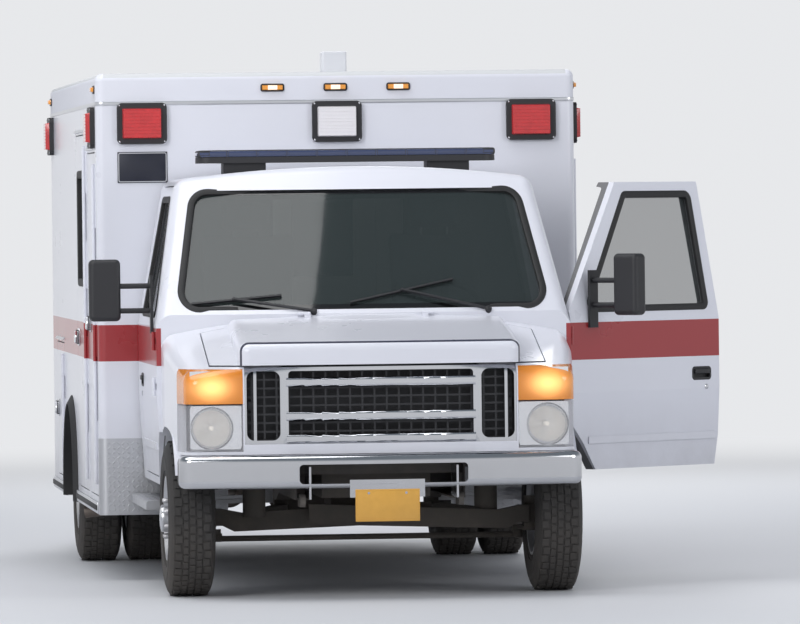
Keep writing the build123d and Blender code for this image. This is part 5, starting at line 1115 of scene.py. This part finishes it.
def make_lamps():
    """The three kinds of lamp on the box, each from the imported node's own form."""
    for kind, slot, out, lens, finishes in LAMPS:
        shape = node_shape(f"{kind}_lamps")
        for face in shape.faces:
            middle = face.calc_center_median()
            if proud(middle) > out:
                face.material_index = lens(middle)
        piece = make_piece(f"{kind}_lamp_bodies", shape, "chassis", finishes, None, False)
        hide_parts(f"{kind}_lamps")


def face_place(origin, out):
    """Matrix that sets a shape drawn level, its top up, on an upright face."""
    out = Vector(out)
    turn = Matrix((UP.cross(out), UP, out)).transposed().to_4x4()
    return Matrix.Translation(origin) @ turn


def lamp_places():
    """Place and direction of every warning lamp."""
    places = [((x, BOX_FRONT, WARNING_Z), FORWARD) for x in FRONT_LAMPS]
    for side in SIDES:
        places += [((side * BOX_HALF, y, SIDE_WARNING_Z), Vector((side, 0, 0))) for y in SIDE_LAMP_Y]
        places.append(((side * REAR_LAMP_X, BOX_REAR, SIDE_WARNING_Z), BACKWARD))
    return places


def make_lamp_details():
    """Ribs across the warning lenses, their corner screws and the marker lamps' lit middles."""
    shape = bmesh.new()
    rib = bmesh.new()
    block(rib, *RIB)
    ribs = set_out(GRID_TREE, rib, "lens_red", Count_X=1, Count_Y=9, Pitch_X=1.0, Pitch_Y=17.0, Turn=0.0)
    screw = bmesh.new()
    lathe(screw, (0, 0, 0), UP, SCREW, 12)
    screws = set_out(GRID_TREE, screw, "chrome", Count_X=2, Count_Y=2, Pitch_X=226.0, Pitch_Y=182.0,
                     Turn=0.0)
    for origin, out in lamp_places():
        place = face_place(origin, out)
        clear = origin[0] == FRONT_LAMPS[1]
        add_mesh(shape, ribs, place @ Matrix.Translation((0, 0, LENS_OUT)), 2 if clear else 0)
        add_mesh(shape, screws, place @ Matrix.Translation((0, 0, FRAME_OUT)), 1)
    make_piece("warning_lamp_ribs", shape, "chassis", ["lens_red", "chrome", "lens_clear"])
    shape = bmesh.new()
    for x in MARKER_X:
        block(shape, *MARKER_MIDDLE, face_place((x, BOX_FRONT, MARKER_Z), FORWARD))
    make_piece("marker_lamp_middles", shape, "chassis", ["marker_glow"])


# Light bar on the cab roof: its lens, the dividers and the end pieces

BAR_LENS = ((-728, 728), (1744, 1956), (2111, 2141), 6)
BAR_DIVIDER = ((1742, 1958), (2110, 2143), 2, 1)
BAR_END_X = (738, 672)
BAR_END = ((1743, 1957), (2110, 2145), 10, 1)
BAR_PITCH = 148


def make_light_bar_pieces():
    """Lens, dividers and ends of the light bar."""
    shape = bmesh.new()
    block(shape, *BAR_LENS)
    for count in range(-4, 5):
        block(shape, about(count * BAR_PITCH, 5), *BAR_DIVIDER)
    for side in SIDES:
        block(shape, on_side(side, BAR_END_X), *BAR_END)
    make_piece("light_bar_lenses", shape, "chassis", ["bar_lens", "black_plastic"])


# Blank plates and the blank sign

PLATE_MIDDLE = 14
PLATE_X = about(PLATE_MIDDLE, 152.5)
PLATE_Z = (371, 523)
PLATE_Y = (1.2, 3.4)
PLATE_LINE = ((-2, -0.4), (-1, 0.9), (1, 0.9), (2, -0.4))
BOLT_APART = 89
BOLT_Z = 505
BOLT = ((0, -1), (7, -1), (6, 0.6), (0, 0.9))
SIGN_X = (-1099, -849)
SIGN_Z = (1992, 2147)
SIGN_LINE = ((-5, 4), (-4, 6), (0, 6), (1, 4))
REAR_PLATE = (
    # the plate and the housing of its lamp
    ((-152, 152), (BOX_REAR, BOX_REAR + 3), (620, 772), 1, 0),
    ((-168, 168), (BOX_REAR, BOX_REAR + 16), (776, 800), 5, 1),
)


def make_plates():
    """The front plate, the sign on the box's front, and the rear plate with its lamp's housing."""
    shape = bmesh.new()
    block(shape, PLATE_X, PLATE_Y, PLATE_Z, 0.5)
    line = rounded(rectangle(inset(PLATE_X, 6), inset(PLATE_Z, 6)), 10)
    sweep(shape, along_surface(line, upright(PLATE_Y[0], FORWARD)), PLATE_LINE, True)
    for x in about(PLATE_MIDDLE, BOLT_APART):
        lathe(shape, (x, 1.0, BOLT_Z), FORWARD, BOLT, 16, 1)
    make_piece("front_plate", shape, "chassis", ["plate_ochre", "chrome"])
    shape = bmesh.new()
    block(shape, SIGN_X, (BOX_FRONT - 5, BOX_FRONT + 0.5), SIGN_Z, 2, 0)
    line = rounded(rectangle(inset(SIGN_X, 4), inset(SIGN_Z, 4)), 10)
    sweep(shape, along_surface(line, upright(BOX_FRONT, FORWARD)), SIGN_LINE, True, 1)
    make_piece("front_sign", shape, "chassis", ["sign_black", "trim_aluminium"])
    shape = bmesh.new()
    blocks(shape, REAR_PLATE)
    make_piece("rear_plate", shape, "chassis", ["plate_ochre", "chrome"])


# Box body trim: cap seam, rub rails, drip rails, arch flares and tread plates

BOX_PLAN = rectangle((-BOX_HALF, BOX_HALF), (BOX_FRONT, BOX_REAR))
SEAM_PROFILE = ((-1, -10), (2.5, -9), (3.5, -6), (3.5, 6), (2.5, 9), (-1, 10))
RUB_RAILS = ((2440, 4286), (5230, 6530))
DRIP_RAILS = (
    # side, both ends, height
    (-1, 3240, 4140, 2262), (1, 2440, 3110, 2162), (-1, 2440, 3110, 2162), (1, 3240, 3960, 1262),
    (1, 5410, 6130, 1512), (-1, 5410, 6130, 1162),
)
REAR_DRIP_HALF = 620
REAR_DRIP_Z = 2312
DRIP_PROFILE = ((0, -1), (14, -1), (14, 3), (4, 9), (4, 13), (0, 13))
REAR_ARCH_R = 460
FLARE_START = -math.asin((TYRE_R - SKIRT - 2) / REAR_ARCH_R)
FLARE_STEPS = 48
FLARE_PROFILE = ((-2, -30), (-2, 24), (3, 28), (16, 20), (46, 4), (48, -1), (3, -1), (3, -30))


def make_box_trim():
    """Bright seam, rub rails and drip rails; then the rails' rubber with the arch flares."""
    shape = bmesh.new()
    plan = [(Vector((point.x, point.y, CAP_SEAM)), Vector((normal.x, normal.y, 0)), UP)
            for point, normal in rounded(BOX_PLAN, BOX_CORNER, 8)]
    sweep(shape, plan, SEAM_PROFILE, True)
    for side in SIDES:
        for rail in RUB_RAILS:
            block(shape, on_side(side, (BOX_HALF - 1, BOX_HALF + 9)), rail, (SKIRT + 4, SKIRT + 62), 3)
    for side, start, end, height in DRIP_RAILS:
        out = Vector((side, 0, 0))
        sweep(shape, [(Vector((side * BOX_HALF, y, height)), UP, out) for y in (start, end)], DRIP_PROFILE)
    frames = [(Vector((x, BOX_REAR, REAR_DRIP_Z)), UP, BACKWARD) for x in about(0, REAR_DRIP_HALF)]
    sweep(shape, frames, DRIP_PROFILE)
    make_piece("box_trim", shape, "chassis", ["trim_aluminium"])
    shape = bmesh.new()
    for side in SIDES:
        for rail in RUB_RAILS:
            block(shape, on_side(side, (BOX_HALF + 8, BOX_HALF + 13)), inset(rail, 6),
                  (SKIRT + 20, SKIRT + 46), 2)
        frames = []
        for step in range(FLARE_STEPS + 1):
            angle = FLARE_START + (math.pi - 2 * FLARE_START) * step / FLARE_STEPS
            aim = Vector((0, math.cos(angle), math.sin(angle)))
            place = Vector((side * BOX_HALF, REAR_AXLE, TYRE_R)) + aim * REAR_ARCH_R
            frames.append((place, aim, Vector((side, 0, 0))))
        sweep(shape, frames, FLARE_PROFILE)
    make_piece("arch_flares", shape, "chassis", ["black_rubber"])


LOZENGE = (11, 3.2, 1.7)
LOZENGE_PITCH = 24.0
GUARD_Z = 522
GUARD_PROFILE = ((-190, -0.5), (-190, 2), (192, 2), (192, -0.5))
GUARD_FRONT_X = (572, 800, 1000, 1166)
GUARD_SIDE_Y = (2370, 2405)
GUARD_STEPS = 8
GUARD_MIDDLE = 872
BOARD_PLACE = (938, 1759, 440)
KICK_HALF = 596
KICK_Z = (566, 824)


def lozenges(count_x, count_y):
    """Raised lozenges of a tread plate, on a level grid."""
    part = bmesh.new()
    bmesh.ops.create_uvsphere(part, u_segments=8, v_segments=4, radius=1.0,
                              matrix=Matrix.Diagonal((*LOZENGE, 1)))
    return set_out(GRID_TREE, part, "tread_aluminium", Count_X=count_x, Count_Y=count_y,
                   Pitch_X=LOZENGE_PITCH, Pitch_Y=LOZENGE_PITCH)


def make_tread_plates():
    """Stone guards on the box's front corners, the kick plate and the running boards' tread."""
    shape = bmesh.new()
    guard = lozenges(25, 15)
    for side in SIDES:
        frames = [(Vector((side * x, BOX_FRONT, GUARD_Z)), UP, FORWARD) for x in GUARD_FRONT_X]
        corner = Vector((side * GUARD_FRONT_X[-1], BOX_FRONT + BOX_CORNER, GUARD_Z))
        for step in range(1, GUARD_STEPS):
            angle = math.pi / 2 * step / GUARD_STEPS
            aim = Vector((side * math.sin(angle), -math.cos(angle), 0))
            frames.append((corner + aim * BOX_CORNER, UP, aim))
        frames += [(Vector((side * BOX_HALF, y, GUARD_Z)), UP, Vector((side, 0, 0))) for y in GUARD_SIDE_Y]
        sweep(shape, frames, GUARD_PROFILE)
        add_mesh(shape, guard, face_place((side * GUARD_MIDDLE, BOX_FRONT - 2, GUARD_Z), FORWARD))
        x, y, z = BOARD_PLACE
        add_mesh(shape, lozenges(7, 43), Matrix.Translation((side * x, y, z)))
    block(shape, about(0, KICK_HALF), (BOX_REAR - 0.5, BOX_REAR + 2), KICK_Z, 0.8)
    add_mesh(shape, lozenges(46, 10), face_place((0, BOX_REAR + 2, sum(KICK_Z) / 2), BACKWARD))
    make_piece("tread_plates", shape, "chassis", ["tread_aluminium"])


# Paddle handles of the lockers and the entry door, and the rear doors' handles

PADDLES = (
    # door, side, station, height
    ("left_front_locker_door", 1, 2990, 1285), ("left_middle_locker_door", 1, 3840, 835),
    ("left_rear_locker_door", 1, 6010, 960), ("right_front_locker_door", -1, 2990, 1285),
    ("right_rear_locker_door", -1, 6010, 785), ("entry_door", -1, 4020, 1200),
)
PADDLE = (
    # escutcheon, bowl and paddle, drawn level
    ((-72, 72), (-46, 46), (-0.5, 5), 3, 0),
    ((-62, 62), (-37, 37), (3, 17), 5, 1),
    ((-58, 58), (-33, 12), (14, 24.5), 5, 0),
)
PADDLE_LOCK = ((0, 0), (9, 0), (8, 7), (0, 7))
REAR_HANDLE = (
    # escutcheon, bowl and grip, drawn level
    ((-30, 30), (-76, 76), (-0.5, 5), 3, 0),
    ((-21, 21), (-61, 61), (2, 23.5), 6, 1),
    ((-15, 15), (-54, 54), (20, 25), 2, 0),
)
REAR_HANDLE_PLACE = (70, 1300)


def make_paddles():
    """A handle on each door of the box."""
    for door, side, y, z in PADDLES:
        shape = bmesh.new()
        place = face_place((side * BOX_HALF, y, z), (side, 0, 0))
        blocks(shape, PADDLE, place)
        lathe(shape, place @ Vector((0, 25, 16)), (side, 0, 0), PADDLE_LOCK, 20)
        make_piece(f"{door}_paddle", shape, door, ["chrome", "black_plastic"])
    for side, name in LEFT_AND_RIGHT:
        shape = bmesh.new()
        x, z = REAR_HANDLE_PLACE
        blocks(shape, REAR_HANDLE, face_place((side * x, BOX_REAR, z), BACKWARD))
        make_piece(f"rear_handle_{name}", shape, f"rear_door_{name}", ["chrome", "black_plastic"])


# Wheels: tyres with a moulded tread, hub caps, wheel nuts and valves

FRONT_WHEEL_X = 881
INNER_TWIN_X = 823.0
OUTER_TWIN_X = 1077.0
TYRES = (
    # CAD node, body, side, widths of its tyres, station
    ("front_left_tyre", "front_wheel_left", 1, (FRONT_WHEEL_X,), FRONT_AXLE),
    ("front_right_tyre", "front_wheel_right", -1, (FRONT_WHEEL_X,), FRONT_AXLE),
    ("rear_left_tyres", "rear_wheels_left", 1, (INNER_TWIN_X, OUTER_TWIN_X), REAR_AXLE),
    ("rear_right_tyres", "rear_wheels_right", -1, (INNER_TWIN_X, OUTER_TWIN_X), REAR_AXLE),
)
HALF_CARCASS = (
    # radius, half width
    (200, 92), (214, 99), (240, 108), (272, 112), (300, 111.5), (330, 107), (351, 99), (362, 90),
    (365.5, 60), (366, 20),
)
CARCASS = HALF_CARCASS + tuple((radius, -half) for radius, half in reversed(HALF_CARCASS))
WALL_RIBS = (
    ((228, 100), (229, 108.5), (233, 108.5), (236, 100)),
    ((300, 104), (301, 112.5), (307, 112.2), (309, 104)),
)
TREAD_ROWS = (
    # place across, width, count, shift
    (0, 26, 56, 0.0), (33, 24, 56, 0.0), (-33, 24, 56, 0.0), (69, 32, 52, 4.0), (-69, 32, 52, 4.0),
)
WHEELS = (
    # piece, body, side, station, the rim's face, the hub's face and radius
    ("front_left", "front_wheel_left", 1, FRONT_AXLE, 973, 1003, 66),
    ("front_right", "front_wheel_right", -1, FRONT_AXLE, 973, 1003, 66),
    ("rear_left", "rear_wheels_left", 1, REAR_AXLE, 964, 1010, 80),
    ("rear_right", "rear_wheels_right", -1, REAR_AXLE, 964, 1010, 80),
)
NUT = ((0, -6), (17, -6), (16.5, 0), (12.5, 2), (12, 20), (9, 26), (0, 26))
NUT_RING = 92.0
# The valve's place from the wheel's axis, and how far it stands out
VALVE_Y = 146 * 0.924
VALVE_Z = TYRE_R + 146 * 0.383 - 34
VALVE_OUT = (-6, 24)
VALVE_SLANT = 8
VALVE_R = 4.5


def make_tread():
    """Blocks of one tyre's tread, round the origin."""
    tread = bmesh.new()
    for number, (place, width, count, shift) in enumerate(TREAD_ROWS):
        part = bmesh.new()
        length = 2 * math.pi * TYRE_R / count
        block(part, (-width / 2, width / 2), (-length * 0.4, length * 0.4), (-9, -0.3), 1.5, steps=1)
        row = set_out(RING_TREE, part, "tyre_rubber", Count=count, Ring_radius=float(TYRE_R), Shift=shift,
                      Start=0.03 * number)
        add_mesh(tread, row, Matrix.Translation((place, 0, 0)))
    mesh = bpy.data.meshes.new("tread")
    tread.to_mesh(mesh)
    tread.free()
    return mesh


def make_tyres():
    """Each wheel's tyre or pair of tyres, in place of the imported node."""
    tread = make_tread()
    for name, body, wheel_side, widths, y in TYRES:
        shape = bmesh.new()
        for width in widths:
            centre = (wheel_side * width, y, TYRE_R)
            lathe(shape, centre, (1, 0, 0), CARCASS, 96)
            for side in SIDES:
                for rib in WALL_RIBS:
                    lathe(shape, centre, (side, 0, 0), rib, 72)
            add_mesh(shape, tread, Matrix.Translation(centre))
        piece = make_piece(f"{name}_moulded", shape, body, ["tyre_rubber"])
        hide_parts(name)


def make_wheel_details():
    """Nuts, hub cap and valve of each wheel."""
    nut = bmesh.new()
    lathe(nut, (0, 0, 0), (1, 0, 0), NUT, 12)
    nuts = set_out(RING_TREE, nut, "nut_steel", Count=8, Ring_radius=NUT_RING, Start=0.39, Tops_out=0.0)
    for name, body, side, y, face, hub, radius in WHEELS:
        shape = bmesh.new()
        turn = Matrix.Translation((side * face, y, TYRE_R))
        if side < 0:
            turn = turn @ Matrix.Rotation(math.pi, 4, "Z")
        add_mesh(shape, nuts, turn, 0)
        cap = ((0, hub - 4), (radius + 0.6, hub - 4), (radius - 3, hub + 5), (radius * 0.6, hub + 11),
               (0, hub + 13))
        lathe(shape, (0, y, TYRE_R), (side, 0, 0), cap, 48, 1)
        foot = (side * (face + VALVE_OUT[0]), y + VALVE_Y, VALVE_Z)
        tip = (side * (face + VALVE_OUT[1]), y + VALVE_Y + VALVE_SLANT, VALVE_Z)
        rod(shape, foot, tip, VALVE_R, 2, 10)
        make_piece(f"{name}_wheel_fittings", shape, body, ["nut_steel", "chrome", "black_rubber"])


# Seats and the bench, as padded pieces, with what carries them

PAD_STEPS = (22, 22, 10)
CHANNEL_DEPTH = 9
CHANNEL_WIDTH = 0.035
SEAT_X = 470
SEAT_EDGE = 34
SEAT_FRAME = (
    # plinth, tray and the hinge plates, about the seat's middle
    ((-178, 178), (1555, 1988), (701, 962), 14, 0),
    ((-226, 226), (1500, 2010), (950, 972), 8, 0),
    ((-238, -226), (1960, 2080), (972, 1090), 5, 0),
    ((226, 238), (1960, 2080), (972, 1090), 5, 0),
)
POSTS_APART = 65
POST_Y = 2150
POST_Z = (1700, 1760)
SEAT_CHANNELS = ((-0.52, True), (0.52, True), (0.1, False))
SEAT_PADS = (
    # part, size, station and height, crown, how far the sides are drawn in, channels, lean in degrees
    ("cushion", (470, 528, 140), (1761, 1034), 16, 12, SEAT_CHANNELS, 0),
    ("back", (470, 690, 100), (2088, 1385), 14, 14, SEAT_CHANNELS, 80.5),
    ("headrest", (254, 156, 88), (2150, 1826), 10, 8, (), 90),
)
BENCH_PAD = ((448, 734, 96), 14, 8, ((0.0, False),), 26)
BENCH_PLACE = (-934, 4674, 1212)
BENCH_PITCH = 742


def pad_shape(size, crown, pinch, channels, edge):
    """A crowned pad about the origin: rounded edges, sides drawn in, and sewn channels on its top."""
    shape = bmesh.new()
    bmesh.ops.create_cube(shape, size=2.0)
    for axis, count in zip(range(3), PAD_STEPS):
        for step in range(1, count):
            cut = -1 + 2 * step / count
            geometry = shape.verts[:] + shape.edges[:] + shape.faces[:]
            normal = Vector([1.0 if part == axis else 0.0 for part in range(3)])
            bmesh.ops.bisect_plane(shape, geom=geometry, plane_co=normal * cut, plane_no=normal)
    half = Vector(size) / 2
    for vert in shape.verts:
        u, v, w = vert.co
        place = Vector((u * half.x, v * half.y, w * half.z))
        near = Vector([max(abs(place[axis]) - (half[axis] - edge), 0.0) for axis in range(3)])
        if near.length > edge:
            shift = near * (1 - edge / near.length)
            for axis in range(3):
                place[axis] -= math.copysign(shift[axis], place[axis])
        middle = (1 - u * u) * (1 - v * v)
        place.x -= math.copysign(pinch * (1 - v * v) * abs(u) ** 3, u)
        place.y -= math.copysign(pinch * (1 - u * u) * abs(v) ** 3, v)
        if w > 0:
            place.z -= crown * (1 - middle) * w
            for line, along in channels:
                away = (u if along else v) - line
                place.z -= CHANNEL_DEPTH * math.exp(-(away / CHANNEL_WIDTH) ** 2) * w
        vert.co = place
    return shape


def make_pad(name, pad, place, finish_name):
    """A padded piece, drawn about the origin and set in its place."""
    shape = pad_shape(*pad)
    bmesh.ops.transform(shape, matrix=place, verts=shape.verts)
    make_piece(name, shape, "chassis", [finish_name])


def make_seats():
    """Both seats' frames in one piece, and each seat's cushion, back and headrest."""
    shape = bmesh.new()
    for side in SIDES:
        x = side * SEAT_X
        blocks(shape, SEAT_FRAME, Matrix.Translation((x, 0, 0)))
        for post in about(x, POSTS_APART):
            rod(shape, (post, POST_Y, POST_Z[0]), (post, POST_Y, POST_Z[1]), 7, 1)
    piece = make_piece("seat_frames", shape, "chassis", ["grey_plastic", "chrome"])
    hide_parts("seats")
    for side, name in LEFT_AND_RIGHT:
        for part, size, place, crown, pinch, channels, lean in SEAT_PADS:
            turn = Matrix.Rotation(math.radians(lean), 4, "X")
            make_pad(f"{name}_seat_{part}", (size, crown, pinch, channels, SEAT_EDGE),
                     Matrix.Translation((side * SEAT_X, *place)) @ turn, "seat_cloth")


# The box's interior

WALL_UNITS_Z = 1160
CABINET_ROWS = ((852, 1180), (1622, 2368))
CABINET_DOOR_X = (755, 762)
CABINET_PULL_X = (746, 756)
CABINET_RAIL_X = (752, 764)
CABINET_RAIL_Y = (2380, 5396)
CABINET_START = 2392
CABINET_PITCH = 500
CABINET_COUNT = 6
CABINET_RAILS = (1196, 1606)
CEILING_RAIL = (-60, 2440)
CEILING_RAIL_Y = (2700, 6200)
CEILING_POSTS_Y = (2750, 4450, 6150)
FLOOR_Z = (BOX_FLOOR - 0.5, BOX_FLOOR + 3)
FLOOR_PLATES = (
    ((-704, 759), (2378, 6528), FLOOR_Z, 1, 0),
    ((-1150, -706), (3255, 4125), FLOOR_Z, 1, 0),
    ((-704, 759), (6530, 6556), (BOX_FLOOR - 0.5, BOX_FLOOR + 5), 2, 1),
)
CEILING_LAMP_X = (-430, 330)
CEILING_LAMP_Y = (3000, 4100, 5200, 6200)
CEILING_LAMP = (
    # frame and lens, drawn below the ceiling
    ((-90, 90), (-210, 210), (-14, 0.5), 6, 1),
    ((-70, 70), (-190, 190), (-18, -12), 3, 0),
)


def islands(shape):
    """Separate bodies of a shape, as sets of faces."""
    left = set(shape.faces)
    while left:
        todo = [left.pop()]
        found = set(todo)
        while todo:
            for line in todo.pop().edges:
                for face in line.link_faces:
                    if face in left:
                        left.discard(face)
                        found.add(face)
                        todo.append(face)
        yield found


def make_cabinets():
    """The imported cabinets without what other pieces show, with their sliding doors and rails."""
    shape = node_shape("box_interior")
    for found in list(islands(shape)):
        if min(vert.co.z for face in found for vert in face.verts) > WALL_UNITS_Z:
            bmesh.ops.delete(shape, geom=list(found), context="FACES")
    piece = make_piece("cabinets", shape, "chassis", ["cabinet_white"], None, False)
    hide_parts("box_interior")
    shape = bmesh.new()
    for low, high in CABINET_ROWS:
        for count in range(CABINET_COUNT):
            start = CABINET_START + count * CABINET_PITCH
            block(shape, CABINET_DOOR_X, (start + 6, start + 492), (low, high), 2, 1)
            block(shape, CABINET_PULL_X, (start + 440, start + 460), about((low + high) / 2, 60), 3)
    for height in CABINET_RAILS:
        block(shape, CABINET_RAIL_X, CABINET_RAIL_Y, about(height, 9), 3)
    x, z = CEILING_RAIL
    rod(shape, (x, CEILING_RAIL_Y[0], z), (x, CEILING_RAIL_Y[1], z), 15)
    for y in CEILING_POSTS_Y:
        rod(shape, (x, y, z), (x, y, BOX_CEILING - 1), 12)
    make_piece("cabinet_fronts", shape, "chassis", ["trim_aluminium", "cabinet_white"])


def make_interior():
    """Cabinets, floor covering, ceiling lamps and the bench's three cushions."""
    make_cabinets()
    shape = bmesh.new()
    blocks(shape, FLOOR_PLATES)
    make_piece("floor_covering", shape, "chassis", ["floor_vinyl", "trim_aluminium"])
    shape = bmesh.new()
    for x in CEILING_LAMP_X:
        for y in CEILING_LAMP_Y:
            blocks(shape, CEILING_LAMP, Matrix.Translation((x, y, BOX_CEILING)))
    make_piece("ceiling_lamps", shape, "chassis", ["ceiling_glow", "trim_aluminium"])
    for count, name in enumerate(("front", "middle", "rear")):
        place = Vector(BENCH_PLACE) + Vector((0, BENCH_PITCH * count, 0))
        make_pad(f"bench_cushion_{name}", BENCH_PAD, Matrix.Translation(place), "bench_vinyl")


# Dashboard: instrument hood, air vents, the radio's blank panel and the glove box lid

DASH = Matrix.Translation((0, 1186, 1262)) @ Matrix.Rotation(math.radians(-14), 4, "X")
DASH_OUT = (0, 1, -0.2)
INSTRUMENT_HOOD = ((296, 564), (-60, 8), (20, 92), 16, 0)
DASH_PANELS = (
    # gauge glass, radio panel and glove box lid
    ((312, 548), (4, 10), (32, 82), 3, 1),
    ((-86, 126), (2, 10), (-92, 4), 4, 1),
    ((-720, -230), (0, 8), (-112, -8), 6, 0),
)
GAUGES_X = (370, 490)
GAUGE = ((0, 0), (23, 0), (23, 3), (20, 3), (19, 1), (0, 1))
VENTS_X = (-780, -150, 190, 790)
VENT_SLATS = (19, 28, 37, 46)
KNOBS_X = (-60, 20, 100)
KNOB = ((0, 0), (15, 0), (13, 14), (0, 14))


def make_dash_details():
    """Details of the dashboard, drawn on its leaning face."""
    shape = bmesh.new()
    block(shape, *INSTRUMENT_HOOD, DASH, 3)
    blocks(shape, DASH_PANELS, DASH)
    for x in GAUGES_X:
        lathe(shape, DASH @ Vector((x, 10, 57)), DASH_OUT, GAUGE, 28, 2)
    for x in VENTS_X:
        block(shape, about(x, 62), (0, 12), (14, 54), 4, 1, DASH)
        for low in VENT_SLATS:
            block(shape, about(x, 56), (8, 15), (low, low + 2.5), 0.8, 0, DASH)
    for x in KNOBS_X:
        lathe(shape, DASH @ Vector((x, 10, -62)), DASH_OUT, KNOB, 20)
    make_piece("dashboard_details", shape, "chassis",
               ["grey_plastic", "black_plastic", "chrome"])


make_seals()
make_wipers()
make_door_pieces()
make_door_trims()
make_headlamp_pieces()
make_lamps()
make_lamp_details()
make_light_bar_pieces()
make_plates()
make_box_trim()
make_tread_plates()
make_paddles()
make_tyres()
make_wheel_details()
make_seats()
make_interior()
make_dash_details()

# Stage: a pale floor that fades into a pale surround, and soft lamps

PALE = (0.80, 0.81, 0.83, 1)
UPPER_PALE = (0.22, 0.25, 0.28, 1)
FLOOR_GREY = (0.62, 0.63, 0.65, 1)
SKY_LIGHT = (0.86, 0.9, 1.0, 1)
SKY_STRENGTH = 0.5
FLOOR_RADIUS = 220
FADE_START = 6.0
FADE_END = 22.0
# Heights in the surround between which pale turns to the upper tone
HORIZON = 0.06
ZENITH = 0.6
SOFT_LAMPS = (
    # name, place in metres, size, power in watts
    ("lamp_above", (-3.4, -2.6, 9.0), 8.0, 430.0),
    ("lamp_front_left", (-8.0, -11.0, 6.0), 6.0, 480.0),
    ("lamp_front_right", (9.0, -10.0, 5.0), 6.0, 300.0),
    ("lamp_behind", (2.0, 13.0, 7.0), 8.0, 560.0),
)
LAMP_AIM = Vector((0, 0, 1.2))


def smooth_step(tree, value, start, end):
    """A share that rises smoothly from 0 at one value to 1 at another."""
    node = tree.nodes.new("ShaderNodeMapRange")
    node.interpolation_type = "SMOOTHSTEP"
    feed(start, node.inputs["From Min"])
    feed(end, node.inputs["From Max"])
    feed(value, node.inputs["Value"])
    return Value(node.outputs["Result"])


def mix_shaders(tree, share, first, second, output):
    """Mixes two shaders into an output node's surface."""
    mix = tree.nodes.new("ShaderNodeMixShader")
    for value, socket in zip((share, first.outputs[0], second.outputs[0]), mix.inputs):
        feed(value, socket)
    feed(mix.outputs[0], tree.nodes[output].inputs["Surface"])


def pale_floor_finish():
    """Pale floor near the vehicle, plain pale light far from it."""
    material = bpy.data.materials.new("pale_floor")
    material.use_nodes = True
    tree = material.node_tree
    shader = tree.nodes["Principled BSDF"]
    feed(FLOOR_GREY, shader.inputs["Base Color"])
    feed(0.7, shader.inputs["Roughness"])
    reach = tree.nodes.new("ShaderNodeVectorMath")
    reach.operation = "LENGTH"
    feed(own_place(tree), reach.inputs[0])
    fade = smooth_step(tree, reach.outputs["Value"], FADE_START, FADE_END)
    far = tree.nodes.new("ShaderNodeEmission")
    feed(PALE, far.inputs["Color"])
    mix_shaders(tree, fade, shader, far, "Material Output")
    return material


def make_floor():
    """The wide floor that the vehicle stands on."""
    mesh = bpy.data.meshes.new("floor")
    shape = bmesh.new()
    bmesh.ops.create_circle(shape, cap_ends=True, radius=FLOOR_RADIUS, segments=96)
    shape.to_mesh(mesh)
    shape.free()
    floor = bpy.data.objects.new("floor", mesh)
    floor.location.z = -0.001
    mesh.materials.append(pale_floor_finish())
    bpy.context.scene.collection.objects.link(floor)


def make_surround():
    """An even light for the scene, and pale tones that the camera, glass and gloss see instead."""
    world = bpy.data.worlds.new("surround")
    bpy.context.scene.world = world
    world.use_nodes = True
    tree = world.node_tree
    cast = tree.nodes["Background"]
    feed(SKY_LIGHT, cast.inputs["Color"])
    feed(SKY_STRENGTH, cast.inputs["Strength"])
    seen = tree.nodes.new("ShaderNodeBackground")
    feed(1.0, seen.inputs["Strength"])
    parts = tree.nodes.new("ShaderNodeSeparateXYZ")
    feed(tree.nodes.new("ShaderNodeTexCoord").outputs["Generated"], parts.inputs[0])
    height = smooth_step(tree, parts.outputs[2], HORIZON, ZENITH)
    feed(mix_colour(tree, height, PALE, UPPER_PALE), seen.inputs["Color"])
    rays = tree.nodes.new("ShaderNodeLightPath")
    camera_ray, glossy_ray, through_ray = [
        Value(rays.outputs[f"Is {kind} Ray"]) for kind in ("Camera", "Glossy", "Transmission")]
    mix_shaders(tree, camera_ray.at_least(glossy_ray).at_least(through_ray), cast, seen, "World Output")


def make_soft_lamps():
    """Wide lamps round the vehicle, all turned to its middle."""
    for name, place, size, power in SOFT_LAMPS:
        light = bpy.data.lights.new(name, "AREA")
        light.shape = "DISK"
        light.size = size
        light.energy = power
        lamp = bpy.data.objects.new(name, light)
        lamp.location = place
        lamp.rotation_mode = "QUATERNION"
        lamp.rotation_quaternion = (LAMP_AIM - Vector(place)).to_track_quat("-Z", "Y")
        bpy.context.scene.collection.objects.link(lamp)


make_floor()
make_surround()
make_soft_lamps()

# Camera at the photograph's place, turned a little down onto the vehicle

CAMERA_PLACE = at(-3474.25, -36000, 1812.8)
CAMERA_AIM = at(300, 2200, 1330)
CAMERA_ROLL = -0.012
camera_data = bpy.data.cameras.new("camera")
camera_data.sensor_width = 36
camera_data.lens = 345
camera_data.clip_end = 400
camera = bpy.data.objects.new("camera", camera_data)
bpy.context.scene.collection.objects.link(camera)
aim = (CAMERA_AIM - CAMERA_PLACE).to_track_quat("-Z", "Y").to_matrix().to_4x4()
camera.matrix_world = Matrix.Translation(CAMERA_PLACE) @ aim @ Matrix.Rotation(CAMERA_ROLL, 4, "Z")
bpy.context.scene.camera = camera
bpy.context.scene.view_settings.view_transform = "Standard"
